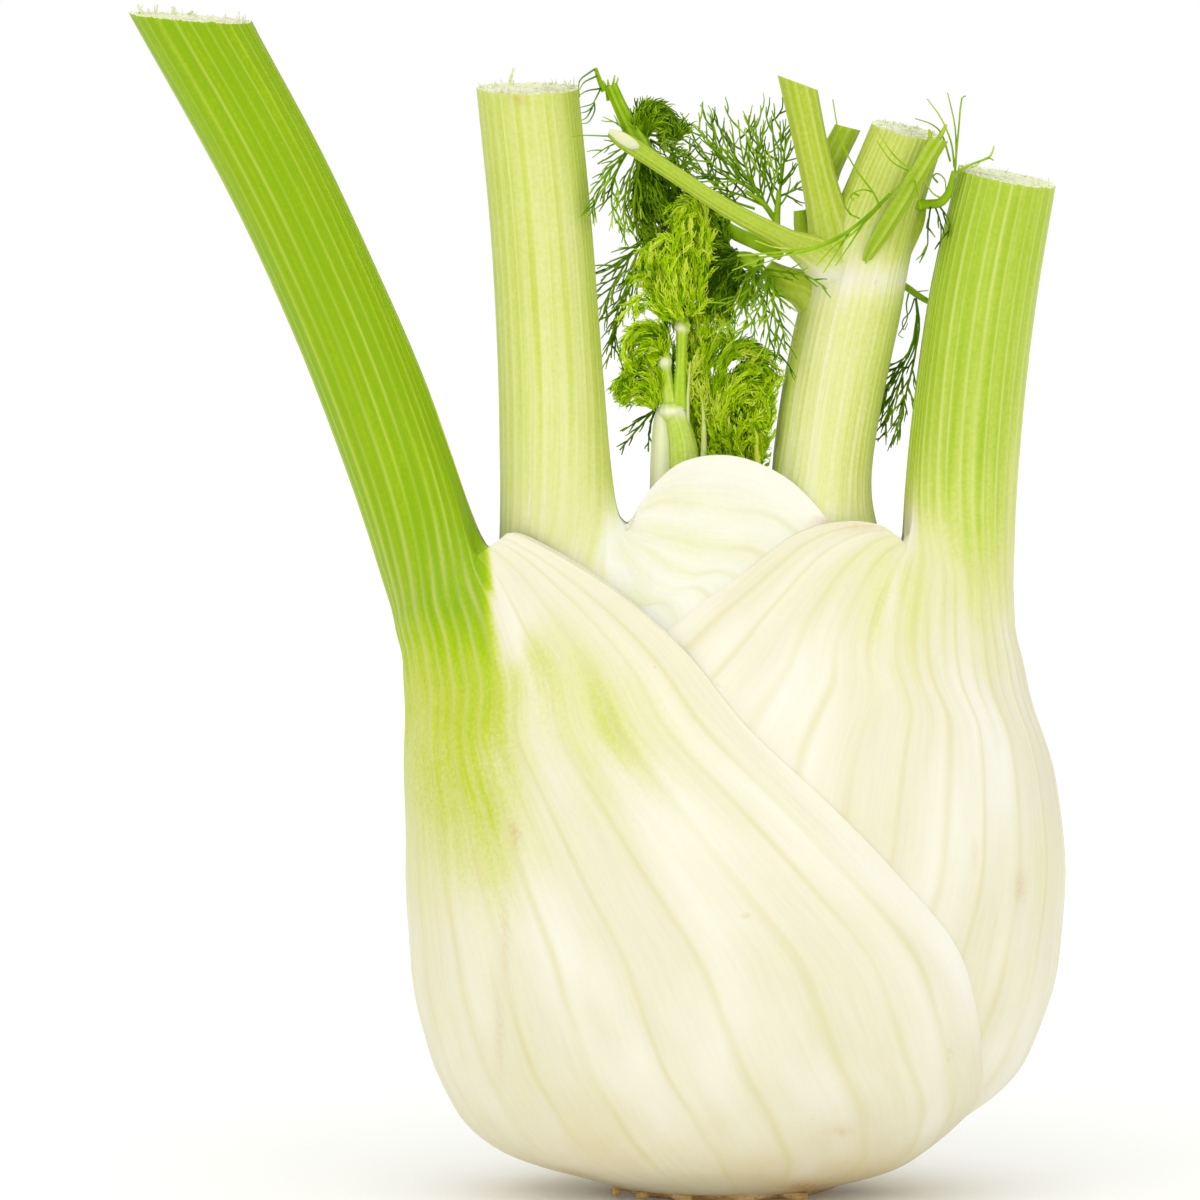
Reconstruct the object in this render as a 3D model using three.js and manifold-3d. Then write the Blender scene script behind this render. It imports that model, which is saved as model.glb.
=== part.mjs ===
// Fennel bulb, freshly trimmed, standing on its cut root base.
// Millimetres, +Z up, X to the right, front towards -Y. The origin is the middle of the resting face.
//
// The bulb is the swollen bases of leaves that grow in two ranks, left and right, each one wrapped
// round the next: left outer, right outer, left inner, right inner, and a young shoot in the heart.
// Each leaf is one solid: a sheath that narrows at its shoulders into a round, ribbed, cut-off stalk.

import * as THREE from 'three';
import { mergeVertices } from 'three/addons/utils/BufferGeometryUtils.js';
import Module from 'manifold-3d';

const wasm = await Module();
wasm.setup();

// ---- sizes that drive the whole bulb ----

const GAP = 0.34;              // clear space between one piece and the next
const SHEATH_RIB = 0.3;        // depth of the furrows on the sheath
const STALK_RIB = 0.5;         // depth of the furrows on the stalk
const STALK_CLOSE = 0.95;      // share of the full turn the stalk's skin takes, the rest is its groove
const CLASP_ROWS = 3;          // rows of a stalk over which its deep foot turns round
const CREST_FROM = 6;          // row of a sheath from which a crested margin starts to steepen
const CREST_ROWS = 3;          // rows over which it does so
const SHELL_COLUMNS = 20;      // columns round the hollow a leaf leaves for the ones inside it
const PLUME_THREADS = 34;      // threads on the young plume
const THREAD = 0.42;           // corner radius of a three-sided frond thread

const LEFT_OUTER_LOOK = { color: 0x9cc12f, roughness: 0.55, metalness: 0 };
const RIGHT_OUTER_LOOK = { color: 0xb4cd58, roughness: 0.55, metalness: 0 };
const INNER_LOOK = { color: 0xdbe39a, roughness: 0.55, metalness: 0 };
const SHOOT_LOOK = { color: 0xc9de6a, roughness: 0.5, metalness: 0 };
const ROOT_LOOK = { color: 0xd2ab70, roughness: 0.85, metalness: 0 };
const YOUNG_FROND_LOOK = { color: 0x8fc21e, roughness: 0.6, metalness: 0 };
const DARK_FROND_LOOK = { color: 0x4a861a, roughness: 0.6, metalness: 0 };

// ---- small helpers ----

function ease(value) {
  const v = THREE.MathUtils.clamp(value, 0, 1);
  return v * v * (3 - 2 * v);
}

// Reads a table of rows [key, value, value, ...] at any key, smoothly.
function tableAt(rows, key) {
  const last = rows.length - 1;
  if (key <= rows[0][0]) {
    return rows[0].slice(1);
  }
  if (key >= rows[last][0]) {
    return rows[last].slice(1);
  }
  let i = 0;
  while (rows[i + 1][0] < key) {
    i += 1;
  }
  const here = rows[i];
  const next = rows[i + 1];
  const before = rows[Math.max(0, i - 1)];
  const after = rows[Math.min(last, i + 2)];
  const span = next[0] - here[0];
  const f = (key - here[0]) / span;
  return here.slice(1).map((value, k) => {
    const slopeHere = (next[k + 1] - before[k + 1]) / (next[0] - before[0]);
    const slopeNext = (after[k + 1] - value) / (after[0] - here[0]);
    return (2 * f ** 3 - 3 * f ** 2 + 1) * value
      + (f ** 3 - 2 * f ** 2 + f) * span * slopeHere
      + (3 * f ** 2 - 2 * f ** 3) * next[k + 1]
      + (f ** 3 - f ** 2) * span * slopeNext;
  });
}

// A closed skin through a list of rings. A fan closes each end; a tip given draws the last to a point.
function skin(rings, tip = null) {
  const count = rings[0].length;
  const points = rings.flat();
  const index = [];
  for (let r = 0; r < rings.length - 1; r += 1) {
    for (let i = 0; i < count; i += 1) {
      const a = r * count + i;
      const b = r * count + (i + 1) % count;
      index.push(a, b, b + count, a, b + count, a + count);
    }
  }
  [0, rings.length - 1].forEach((r, end) => {
    if (count === 3 && !(end && tip)) {
      index.push(r * 3, r * 3 + (end ? 1 : 2), r * 3 + (end ? 2 : 1));
      return;
    }
    const middle = new THREE.Vector3();
    rings[r].forEach((p) => middle.addScaledVector(p, 1 / count));
    points.push(end && tip ? tip : middle);
    for (let i = 0; i < count; i += 1) {
      const a = r * count + i;
      const b = r * count + (i + 1) % count;
      index.push(points.length - 1, end ? a : b, end ? b : a);
    }
  });
  const geometry = new THREE.BufferGeometry().setFromPoints(points);
  geometry.setIndex(index);
  return geometry;
}

function solidOf(geometry) {
  const plain = geometry.clone();
  plain.deleteAttribute('normal');
  plain.deleteAttribute('uv');
  const merged = mergeVertices(plain, 1e-4);
  const vertProperties = new Float32Array(merged.attributes.position.array);
  const triVerts = new Uint32Array(merged.index.array);
  const solid = new wasm.Manifold(new wasm.Mesh({ numProp: 3, vertProperties, triVerts }));
  if (solid.volume() > 0) {
    return solid;
  }
  const turned = triVerts.map((v, i) => triVerts[i - (i % 3) + 2 - (i % 3)]);
  return new wasm.Manifold(new wasm.Mesh({ numProp: 3, vertProperties, triVerts: turned }));
}

function joined(solids) {
  return solids.reduce((all, one) => all.add(one));
}

function cutBy(solid, tools) {
  return tools.reduce((rest, tool) => rest.subtract(tool), solid);
}

// One named mesh from a solid; the largest body stays and loose scraps are dropped.
function meshOf(name, solid, look) {
  const bodies = solid.decompose();
  const body = bodies.reduce((best, one) => (one.volume() > best.volume() ? one : best));
  const data = body.getMesh();
  const geometry = new THREE.BufferGeometry();
  geometry.setAttribute('position', new THREE.Float32BufferAttribute(data.vertProperties, 3));
  geometry.setIndex(Array.from(data.triVerts));
  geometry.computeVertexNormals();
  const mesh = new THREE.Mesh(geometry, new THREE.MeshStandardMaterial(look));
  mesh.name = name;
  return mesh;
}

// ---- leaves: sheath and stalk as rings from the base to the cut ----

// A leaf is described by
//   side       -1 for the left rank, +1 for the right
//   columns    columns round the leaf; every second one is the crest of a rib
//   layer      rows [height, left edge, right edge, half depth] of the surface its sheath lies on
//   sheath     rows [half angle, margin height, midrib height, thinning], from base to crease
//   stalk      rows [x, y, z, radius]; the first two lie beside the last two rows of the sheath
//   cut        slope of the cut across the top of the stalk
//   backDrop   how much lower the margin runs behind than in front
//   clasp      how much deeper than wide the foot of the stalk is, where it clasps the bulb
//   crest      how much later and steeper the margin rises beside the stalk than on the sheath below

function sheathPoint(leaf, u, t, grow) {
  const rows = leaf.sheath.map((row, i) => [i, ...row]);
  const [angle, marginHeight, midribHeight, thinning] = tableAt(rows, t);
  const drop = u > 0 ? leaf.backDrop * ease((t - 4) / 4) : 0;
  const rise = 2 + leaf.crest * ease((t - CREST_FROM) / CREST_ROWS);
  const height = midribHeight + (marginHeight - drop - midribHeight) * Math.abs(u) ** rise;
  const [left, right, depth] = tableAt(leaf.layer, height);
  const turn = THREE.MathUtils.degToRad(Math.min(178, angle + 1.3 * Math.max(0, grow))) * u;
  const offset = grow - thinning * ease((Math.abs(u) - 0.78) / 0.22);
  return new THREE.Vector3(
    (right + left) / 2 + leaf.side * ((right - left) / 2 + offset) * Math.cos(turn),
    (depth + offset) * Math.sin(turn),
    height - Math.max(0, grow) * (1 - ease(t)),
  );
}

function stalkPoint(leaf, u, k, grow) {
  const rows = leaf.stalk.map((row, i) => [i, ...row]);
  const last = rows.length - 1;
  const [x, y, z, radius] = tableAt(rows, k);
  const [x0, , z0] = tableAt(rows, Math.max(0, k - 0.5));
  const [x1, , z1] = tableAt(rows, Math.min(last, k + 0.5));
  const along = new THREE.Vector2(x1 - x0, z1 - z0).normalize();
  const turn = Math.PI * STALK_CLOSE * u;
  const halfDepth = radius * (1 + leaf.clasp * (1 - ease(k / CLASP_ROWS))) + grow;
  const outward = leaf.side * Math.cos(turn) * (radius + grow);
  const across = new THREE.Vector2(along.y, -along.x);
  // Near the top the rings tilt until they lie in the plane of the cut.
  const tilt = ease((k - last + 1.6) / 1.6);
  const slide = tilt * (leaf.cut * across.x - across.y) / (along.y - leaf.cut * along.x);
  return new THREE.Vector3(
    x + outward * (across.x + slide * along.x),
    y + halfDepth * Math.sin(turn),
    z + outward * (across.y + slide * along.y),
  );
}

function leafPoint(leaf, u, t, grow, ribbed) {
  const crease = leaf.sheath.length - 1;
  const blend = ease((t - crease + 1) / 2);
  const valley = ribbed && Math.round((u + 1) * leaf.columns / 2) % 2;
  const furrow = valley ? THREE.MathUtils.lerp(SHEATH_RIB * ease(t / 3), STALK_RIB, blend) : 0;
  const onSheath = sheathPoint(leaf, u, Math.min(t, crease), grow - furrow);
  return blend ? onSheath.lerp(stalkPoint(leaf, u, t - crease + 1, grow - furrow), blend) : onSheath;
}

// The whole body of a leaf, closed across between its two margins.
function leafBody(leaf, columns, grow, ribbed) {
  const end = leaf.sheath.length + leaf.stalk.length - 3;
  const crease = leaf.sheath.length - 1;
  const rings = [];
  for (let t = 0; t <= end + 0.01; t += t >= crease - 3 && t < crease + 1 ? 0.5 : 1) {
    const ring = [];
    for (let i = 0; i <= columns; i += 1) {
      ring.push(leafPoint(leaf, -1 + 2 * i / columns, t, grow, ribbed));
    }
    rings.push(ring);
  }
  return solidOf(skin(rings));
}

const leftOuter = {
  side: -1,
  columns: 28,
  layer: [
    [1.6, -20, 19, 15], [3.4, -26, 26, 19], [5, -32, 30.6, 22.5], [7.6, -38.6, 35.2, 27.2],
    [11.8, -44.2, 41, 31.4], [17.6, -47.7, 48.8, 34.7], [23.5, -50.4, 53, 37.1],
    [35, -53.1, 57.6, 40], [47, -54.1, 59.2, 41], [59, -54.3, 59.2, 40.5], [71, -54.4, 57.6, 38.5],
    [82, -54.2, 54.2, 35], [90, -54.7, 52, 30.9], [98, -56.3, 50.3, 25.4],
    [106, -58.6, 50, 19], [113, -61, 50, 14.2],
  ],
  sheath: [
    [172, 1.6, 1.6, 0], [171, 5.2, 5.2, 0], [168, 9.8, 9.8, 0.2], [155, 16.5, 16.5, 0.3],
    [144, 25, 25, 0.4], [137, 34, 34, 0.5], [130, 45, 44, 0.6], [118, 57, 55, 0.7],
    [106, 69, 66, 0.8], [93, 82, 77, 0.9], [84, 94, 85, 1.4], [74, 102.5, 90, 2],
    [62, 109.4, 94, 2], [54.5, 112.3, 97, 1.4], [51, 110.4, 101, 0.4],
  ],
  stalk: [
    [-47.5, 0, 99.5, 9.3], [-49.6, 0, 107, 9], [-52.6, -0.5, 117, 8.8], [-59.1, -1.3, 135.4, 8.7],
    [-67, -2.1, 153.8, 8.6], [-76.2, -3, 173.4, 8.6], [-89.6, -4, 197.9, 8.7],
  ],
  cut: -0.08,
  backDrop: 2,
  clasp: 0.4,
  crest: 0,
};

const rightOuter = {
  side: 1,
  columns: 28,
  layer: [
    [4.4, -20, 22, 16.5], [7.6, -31, 31.6, 23.6], [11.8, -38, 38.4, 28.4],
    [17.6, -42.5, 46.6, 32], [23.5, -45, 51.2, 34.4], [35, -47.5, 55.4, 37.3],
    [47, -48.5, 57, 38.3], [59, -48.5, 57, 37.8], [71, -48, 55.4, 35.8],
    [82, -47, 51.9, 32.3], [90, -45.5, 49.8, 28.2], [98, -43, 48.3, 22.8],
    [106, -40, 48, 17], [113, -37, 48.2, 13],
  ],
  sheath: [
    [170, 4.4, 4.4, 0], [168, 9.8, 9.8, 0.2], [160, 16.5, 16.5, 0.3], [150, 25, 25, 0.4],
    [143, 34, 33, 0.5], [136, 46, 42, 0.6], [124, 66, 53, 0.7], [116, 87, 65, 0.9],
    [104, 98.6, 76, 1.1], [94, 104.6, 84, 1.2], [82, 112, 91, 1.3], [70, 114.2, 96, 1.4],
    [60, 113.4, 99, 1], [57, 111.2, 103, 0.4],
  ],
  stalk: [
    [39.2, 0, 101, 9.5], [38.9, 0, 109, 9.4], [38.9, 0, 117.5, 9.4], [40.4, 0, 134, 9.2],
    [43, 0, 152.5, 9], [46.7, 0, 171.3, 8.4],
  ],
  cut: -0.19,
  backDrop: 2,
  clasp: 0.4,
  crest: 0,
};

const leftInner = {
  side: -1,
  columns: 24,
  layer: [
    [7, -20, 20, 15], [12, -32.5, 32, 23.5], [17.6, -39.5, 39, 28.5],
    [23.5, -42.5, 43.5, 31.3], [35, -45.3, 48.5, 34.4], [47, -46.3, 50, 35.4],
    [59, -46.4, 50, 34.9], [71, -45.8, 48.5, 32.9], [82, -44.6, 45.5, 29.4],
    [90, -42.9, 42.5, 25.3], [98, -40.8, 38.5, 20.2], [106, -38.8, 34, 15.1],
    [113, -38, 30.5, 11.9], [119, -37.8, 28.5, 10.8], [126, -37.5, 27, 9.9],
  ],
  sheath: [
    [172, 7, 7, 0], [166, 20, 17, 0.3], [150, 45, 34, 0.6], [140, 75, 58, 0.6],
    [136, 98, 76, 0.6], [132, 107.4, 84, 0.6], [128, 114.4, 90, 0.4], [118, 121, 95, 0.3],
    [102, 125, 98, 0.3], [86, 124.2, 101, 0.3], [75, 119.4, 104, 0.3],
    [70, 115.4, 106.5, 0.3], [66, 110.4, 109, 0],
  ],
  stalk: [
    [-28, 0, 105, 9.9], [-28, 0, 112, 9.9], [-28.4, 0, 120, 9.3], [-29.6, 0, 141, 8.8],
    [-31.2, 0, 164, 8.6], [-33.4, 0, 186.1, 8.6],
  ],
  cut: 0,
  backDrop: 1.5,
  clasp: 0.3,
  crest: 4,
};

const rightInner = {
  side: 1,
  columns: 20,
  layer: [
    [9.8, -20, 20, 14], [13, -28, 28, 19], [17.6, -33, 34, 23.4], [23.5, -38, 40, 27.5],
    [35, -41, 45.5, 31], [47, -42, 47.3, 32.3], [59, -42, 47.3, 31.6], [71, -41, 45.8, 29.6],
    [82, -38, 42.6, 26], [90, -34, 39.2, 22], [98, -26, 34.4, 17.2], [106, -14, 29.6, 12.6],
    [113, -4, 26.5, 10],
  ],
  sheath: [
    [174, 9.8, 9.8, 0], [172, 24, 22, 0], [170, 47, 46, 0], [168, 70, 70, 0],
    [164, 90, 88, 0], [160, 101, 97, 0], [158, 106, 103, 0],
  ],
  stalk: [
    [15.6, 1, 101, 9.4], [15.4, 1.2, 108, 8.8], [15.4, 1.4, 116, 8.2], [15.9, 1.4, 124.5, 8.3],
    [18, 1.3, 137, 8.6], [20.9, 1.3, 150.5, 8.5], [22.6, 1.3, 157.4, 8], [25.5, 1.3, 166, 7],
    [30.2, 1.3, 179, 6.2],
  ],
  cut: -0.21,
  backDrop: 0,
  clasp: 0.1,
  crest: 0,
};

// Slivers of torn skin that stand up from two of the cuts, as rows for stem().
const leftOuterSlivers = [
  [[-98.5, -3, 195, 0.9], [-98.7, -3, 198, 0.9], [-98.8, -3, 200.3, 0.4]],
  [[-92.6, 3.6, 195, 1.4], [-92.7, 3.6, 198.6, 1.3], [-93, 3.6, 199.8, 0.5]],
];
const leftInnerSliver = [
  [-36.4, -7.2, 184, 1.5], [-36.6, -7.3, 186.8, 1.4], [-36.1, -7.3, 188.4, 0.9], [-35.5, -7.3, 190, 0.3],
];

const clearOf = (leaf) => leafBody(leaf, SHELL_COLUMNS, GAP + 0.5, false);
const roomForRightOuter = clearOf(rightOuter);
const roomForLeftInner = clearOf(leftInner);
const roomForRightInner = clearOf(rightInner);

// ---- stems, threads and fronds ----

const V = (x, y, z) => new THREE.Vector3(x, y, z);

// A tapering round stem through rows [x, y, z, radius]; flat is its depth as a share of its width,
// and cut, if given, the slope of the cut across its top.
function stem(rows, sides = 8, flat = 1, cut = null) {
  const path = new THREE.CatmullRomCurve3(rows.map(([x, y, z]) => V(x, y, z)));
  const steps = rows.length - 1;
  const rings = rows.map((row, r) => {
    const along = path.getTangent(r / steps);
    const across = V(0, 1, 0).cross(along).normalize();
    const deep = along.clone().cross(across).normalize();
    return Array.from({ length: sides }, (unused, i) => {
      const turn = 2 * Math.PI * i / sides;
      const out = V(0, 0, 0)
        .addScaledVector(across, row[3] * Math.cos(turn))
        .addScaledVector(deep, row[3] * flat * Math.sin(turn));
      if (cut !== null && r === steps) {
        out.addScaledVector(along, (cut * out.x - out.z) / (along.z - cut * along.x));
      }
      return out.add(V(row[0], row[1], row[2]));
    });
  });
  return solidOf(skin(rings));
}

// A frond thread: three-sided, bent once or more, drawn to a point, thin where it leaves its stem.
function thread(points, radius = THREAD, rootRadius = radius * 0.5) {
  const rings = points.slice(0, -1).map((p, r) => {
    const width = r ? radius : rootRadius;
    const along = points[r + 1].clone().sub(points[Math.max(0, r - 1)]).normalize();
    const across = along.clone().cross(Math.abs(along.y) < 0.9 ? V(0, 1, 0) : V(1, 0, 0)).normalize();
    const deep = along.clone().cross(across);
    return [0, 1, 2].map((i) => p.clone()
      .addScaledVector(across, width * Math.cos(2.094395 * i))
      .addScaledVector(deep, width * Math.sin(2.094395 * i)));
  });
  return solidOf(skin(rings, points[points.length - 1]));
}

// Repeatable random numbers, one stream for each frond.
function randomFrom(seed) {
  let state = seed;
  return () => {
    state = (state * 1664525 + 1013904223) % 4294967296;
    return state / 4294967296;
  };
}

// Threads that hug a rounded core and curl along it, evenly round the core.
function curlThreads(middle, size, count, length, seed, clear = (p) => p) {
  const random = randomFrom(seed);
  return Array.from({ length: count }, (unused, i) => {
    const up = 1 - 2 * (i + 0.5) / count;
    const turn = i * 2.399963 + random() * 0.3;
    const ring = Math.sqrt(1 - up * up);
    const out = V(ring * Math.cos(turn), ring * Math.sin(turn), up);
    const side = V(-out.y, out.x, 0.6 - random()).normalize();
    const at = (scale, slide) => V(out.x * size[0], out.y * size[1], out.z * size[2])
      .multiplyScalar(scale).addScaledVector(side, slide).add(middle);
    return thread([at(0.75, 0), at(1.12, length * 0.45), at(1.22, length)].map(clear));
  });
}

function egg(middle, size) {
  const ball = new THREE.IcosahedronGeometry(1, 1);
  ball.scale(...size);
  ball.translate(middle.x, middle.y, middle.z);
  return solidOf(ball);
}

// A small feathered branch: a bent main thread with side threads to the left and right by turns.
function feather(root, tip, count, length, seed, sag = 0) {
  const random = randomFrom(seed);
  const main = tip.clone().sub(root);
  const along = main.clone().normalize();
  const across = along.clone().cross(V(0, 1, 0)).normalize();
  const at = (f) => root.clone().addScaledVector(main, f)
    .addScaledVector(V(0, 0, -1), sag * 4 * main.length() * f * (1 - f));
  const parts = [thread([at(0), at(0.5), tip], THREAD * 1.2, THREAD * 1.2)];
  for (let i = 0; i < count; i += 1) {
    const f = 0.22 + 0.62 * (i + random() * 0.6) / count;
    const hand = i % 2 ? 1 : -1;
    const open = hand * (0.55 + 0.35 * random());
    const reach = length * (1 - 0.3 * f) * (0.8 + 0.4 * random());
    const heading = along.clone().multiplyScalar(Math.cos(open))
      .addScaledVector(across, Math.sin(open))
      .addScaledVector(V(0, 1, 0), 0.5 * (random() - 0.5)).normalize();
    parts.push(thread([at(f), at(f).addScaledVector(heading, reach)], THREAD, THREAD * 1.1));
  }
  return parts;
}

// ---- root base: the trimmed stump the leaves grow from, flat underneath ----

const ROOT_TOP = 9;
const rootProfile = [
  [0, 0], [13.6, 0], [17.2, 1.5], [17.2, 3.6], [14.5, 6.6], [11, ROOT_TOP], [0, ROOT_TOP],
];

function rootBase(grow) {
  const lathe = new THREE.LatheGeometry(rootProfile.map(
    ([r, z]) => new THREE.Vector2(r ? r + grow : 0, z > 3 ? z + grow : Math.max(0, z - grow))), 20);
  lathe.rotateX(Math.PI / 2);
  const place = lathe.attributes.position;
  for (let i = 0; i < place.count; i += 1) {
    const turn = Math.atan2(place.getY(i), place.getX(i));
    const lobe = 1.06 + 0.05 * Math.cos(5 * turn + 0.6) + 0.03 * Math.cos(9 * turn);
    place.setX(i, place.getX(i) * lobe);
    place.setY(i, place.getY(i) * lobe * 0.78);
  }
  return solidOf(lathe);
}

// ---- heart shoot: a pale sheath, a green stem with its ring, and two thinner stems above it ----

const heartBase = (grow) => stem([
  [-4, 0, 80 - grow, 2.5 + grow], [-5, 0, 92, 5 + grow], [-6.4, 0, 104, 6.2 + grow],
  [-7.4, 0, 112, 5.8 + grow], [-7.8, 0, 120 + grow, 5 + grow],
], 9);
const heartShoot = joined([
  heartBase(0),
  stem([[-10.8, 0.6, 114, 1.9], [-11, 0.8, 120, 1.9], [-11.1, 0.9, 126, 1.8], [-11.3, 1, 131.4, 1]],
    7, 1.9),
  stem([[-7.4, -0.8, 114, 2.8], [-7.4, -0.8, 124, 2.5], [-7.5, -0.8, 131.6, 2.3]], 8),
  stem(
    [[-7.9, -0.8, 131.2, 2.2], [-8.3, -0.8, 132, 3], [-8.5, -0.8, 132.9, 3], [-8.6, -0.8, 133.8, 2]],
    8),
  stem([[-9.2, -0.8, 132.4, 1.5], [-10, -0.7, 136.5, 1.2], [-10.8, -0.5, 140.9, 1.5]], 6),
  stem([[-7.8, -1, 132.4, 1.5], [-7.6, -1, 139, 1.2], [-7.4, -0.8, 146.2, 1.5]], 6),
  stem([[-5.4, -0.6, 117, 0.9], [-4.2, -1, 124, 0.6], [-3.9, -1.2, 132, 0.5]], 5),
]);

// ---- branches of the right inner leaf, cut short or bent aside at its node ----

const rightInnerBranches = [
  stem([[19.5, -0.5, 156, 4.6], [17, -1.4, 163.5, 3.5], [14.7, -2, 173, 2.8], [11.6, -2.2, 187.1, 3.05]],
    9, 1, -0.37),
  stem([[17.5, 4.5, 158, 2.8], [15.4, 4.4, 166, 2.5], [16.6, 4.3, 172, 2.4], [20.2, 4.2, 179.5, 2.2]],
    8, 1, -0.25),
  stem([[21.5, -5.2, 155, 1], [24, -6.9, 160.5, 1.6], [29, -7.4, 168, 1.6], [35, -6.6, 177.7, 1.6]],
    8, 1, -0.2),
  stem([
    [19, -2.5, 154.5, 4], [14.5, -4.6, 157.8, 3], [9.5, -5.6, 160.8, 2.1], [0, -5.8, 166.1, 1.95],
    [-9, -5.4, 171.9, 1.75], [-14.5, -5, 175.6, 1.7], [-18.4, -4.8, 178.2, 1.3],
  ], 8),
  stem([[16, 0.5, 150, 4], [12.6, 0, 152.4, 3.2], [9.4, -0.4, 154, 2.5], [6.6, -0.6, 156.2, 1.4]], 8),
  stem([[15.5, 2, 157, 2], [12.8, 2.4, 161.5, 1.4], [12.2, 2.6, 165.6, 1.1]], 6),
  stem([[28, 1.4, 160, 3.5], [31.2, 0.6, 163.5, 1.8], [32.6, 0, 166.3, 0.8]], 6),
];

// ---- fronds ----

// Threads on a leaning head whose core runs through rows [x, y, z, radius].
function headThreads(rows, flat, count, reach, seed, clear = (p) => p) {
  const random = randomFrom(seed);
  const keyed = rows.map((row, i) => [i, ...row]);
  return Array.from({ length: count }, (unused, i) => {
    const key = 0.3 + (rows.length - 1.35) * (i + 0.5) / count;
    const turn = i * 2.399963 + 0.4 * random();
    const [x, y, z, radius] = tableAt(keyed, key);
    const long = reach * (0.75 + 0.5 * random());
    const at = (away, rise) => clear(
      V(x + away * Math.cos(turn), y + away * flat * Math.sin(turn), z + rise));
    return thread([at(radius * 0.8, -0.4), at(radius + long * 0.65, long * 0.8)], THREAD, THREAD * 1.1);
  });
}

// Young plume, bright green, on the taller thin stem.
const plumeCore = [
  [-7.5, -0.8, 147, 0.9], [-8.4, -0.7, 148, 2.2], [-10, -0.4, 149.8, 4.2], [-9.9, -0.2, 153.4, 4.5],
  [-9.1, -0.1, 158, 4.5], [-7.8, 0, 162.4, 3.9], [-6.4, 0, 166, 2.2],
];
const plume = () => joined([
  stem(plumeCore, 9, 0.85),
  ...headThreads(plumeCore, 0.85, PLUME_THREADS, 3, 11),
]);

// Curled young fronds that branch off to the left.
const upperCurl = V(-14.3, -0.3, 143.9);
const UPPER_CURL_SIZE = [2.4, 2.2, 2.6];
const frondCurlUpper = () => joined([
  stem(
    [[-11, -0.5, 141.8, 1.1], [-11.2, -0.4, 143.6, 1.6], [-11.5, -0.3, 145, 1.5], [-11.7, -0.2, 146, 0.8]],
    6),
  stem([[-11.3, -0.4, 142.9, 1], [-12.6, -0.2, 143.6, 1.2], [-14, 0, 144, 1.2]], 6),
  egg(upperCurl, UPPER_CURL_SIZE),
  ...curlThreads(upperCurl, UPPER_CURL_SIZE, 12, 2.3, 23),
]);
const lowerCurl = V(-15.1, 0.3, 137.1);
const LOWER_CURL_SIZE = [3.1, 2.3, 2.8];
const frondCurlLower = () => joined([
  stem([[-12.2, 0.6, 133.7, 0.7], [-12.6, 0.5, 134.2, 1.1], [-14.2, 0.4, 136.2, 1.2]], 6),
  egg(lowerCurl, LOWER_CURL_SIZE),
  ...curlThreads(lowerCurl, LOWER_CURL_SIZE, 12, 2.8, 24),
]);

// Small dark frond that hangs out at the left behind the shoot's sheath.
const frondHeartLeft = () => joined([
  stem([[-12, 4.4, 133, 0.9], [-13, 4.2, 131.4, 1.1], [-13.8, 4, 128.6, 0.9], [-14, 4, 124, 0.5]], 5),
  ...feather(V(-12.8, 4.2, 131.6), V(-18.2, 4, 125.4), 3, 3, 25),
  ...feather(V(-13.2, 4.2, 131), V(-17.6, 3.6, 128.6), 2, 2.6, 26),
]);

// Loose young spray between the shoot and the right-hand mass, closing into a small curl at its top.
const sprayCore = [
  [-3.4, 4.4, 116, 0.8], [-4, 4.3, 122, 1.2], [-4.2, 4.1, 127, 2.1], [-4.3, 3.9, 133, 2.3],
  [-4, 3.8, 138.6, 2.2], [-2.6, 3.5, 143.4, 2.2], [-1.4, 3, 146.6, 1.3],
];
const frondHeartSpray = () => joined([
  stem(sprayCore, 7, 0.7),
  ...headThreads(sprayCore.slice(1), 0.7, 22, 2.2, 31),
]);

// Dense young mass on the right of the heart, folded over itself.
const besideStalk = (p) => V(Math.min(p.x, 6.8 + 0.18 * (p.z - 125)), p.y, p.z);
const massCore = [
  [2.5, 0.4, 116, 1.3], [2.8, 0.4, 121, 3.2], [2.9, 0.3, 126, 4.3], [3.2, 0.2, 131.4, 4.8],
  [3.6, 0.2, 136.4, 4.9], [3.4, 0.2, 140.2, 4.1], [2.6, 0.2, 143, 2.2],
];
const frondHeartRight = () => joined([
  stem(massCore, 10, 0.85),
  ...headThreads(massCore.slice(1), 0.85, 34, 2.4, 41, besideStalk),
]);

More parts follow.
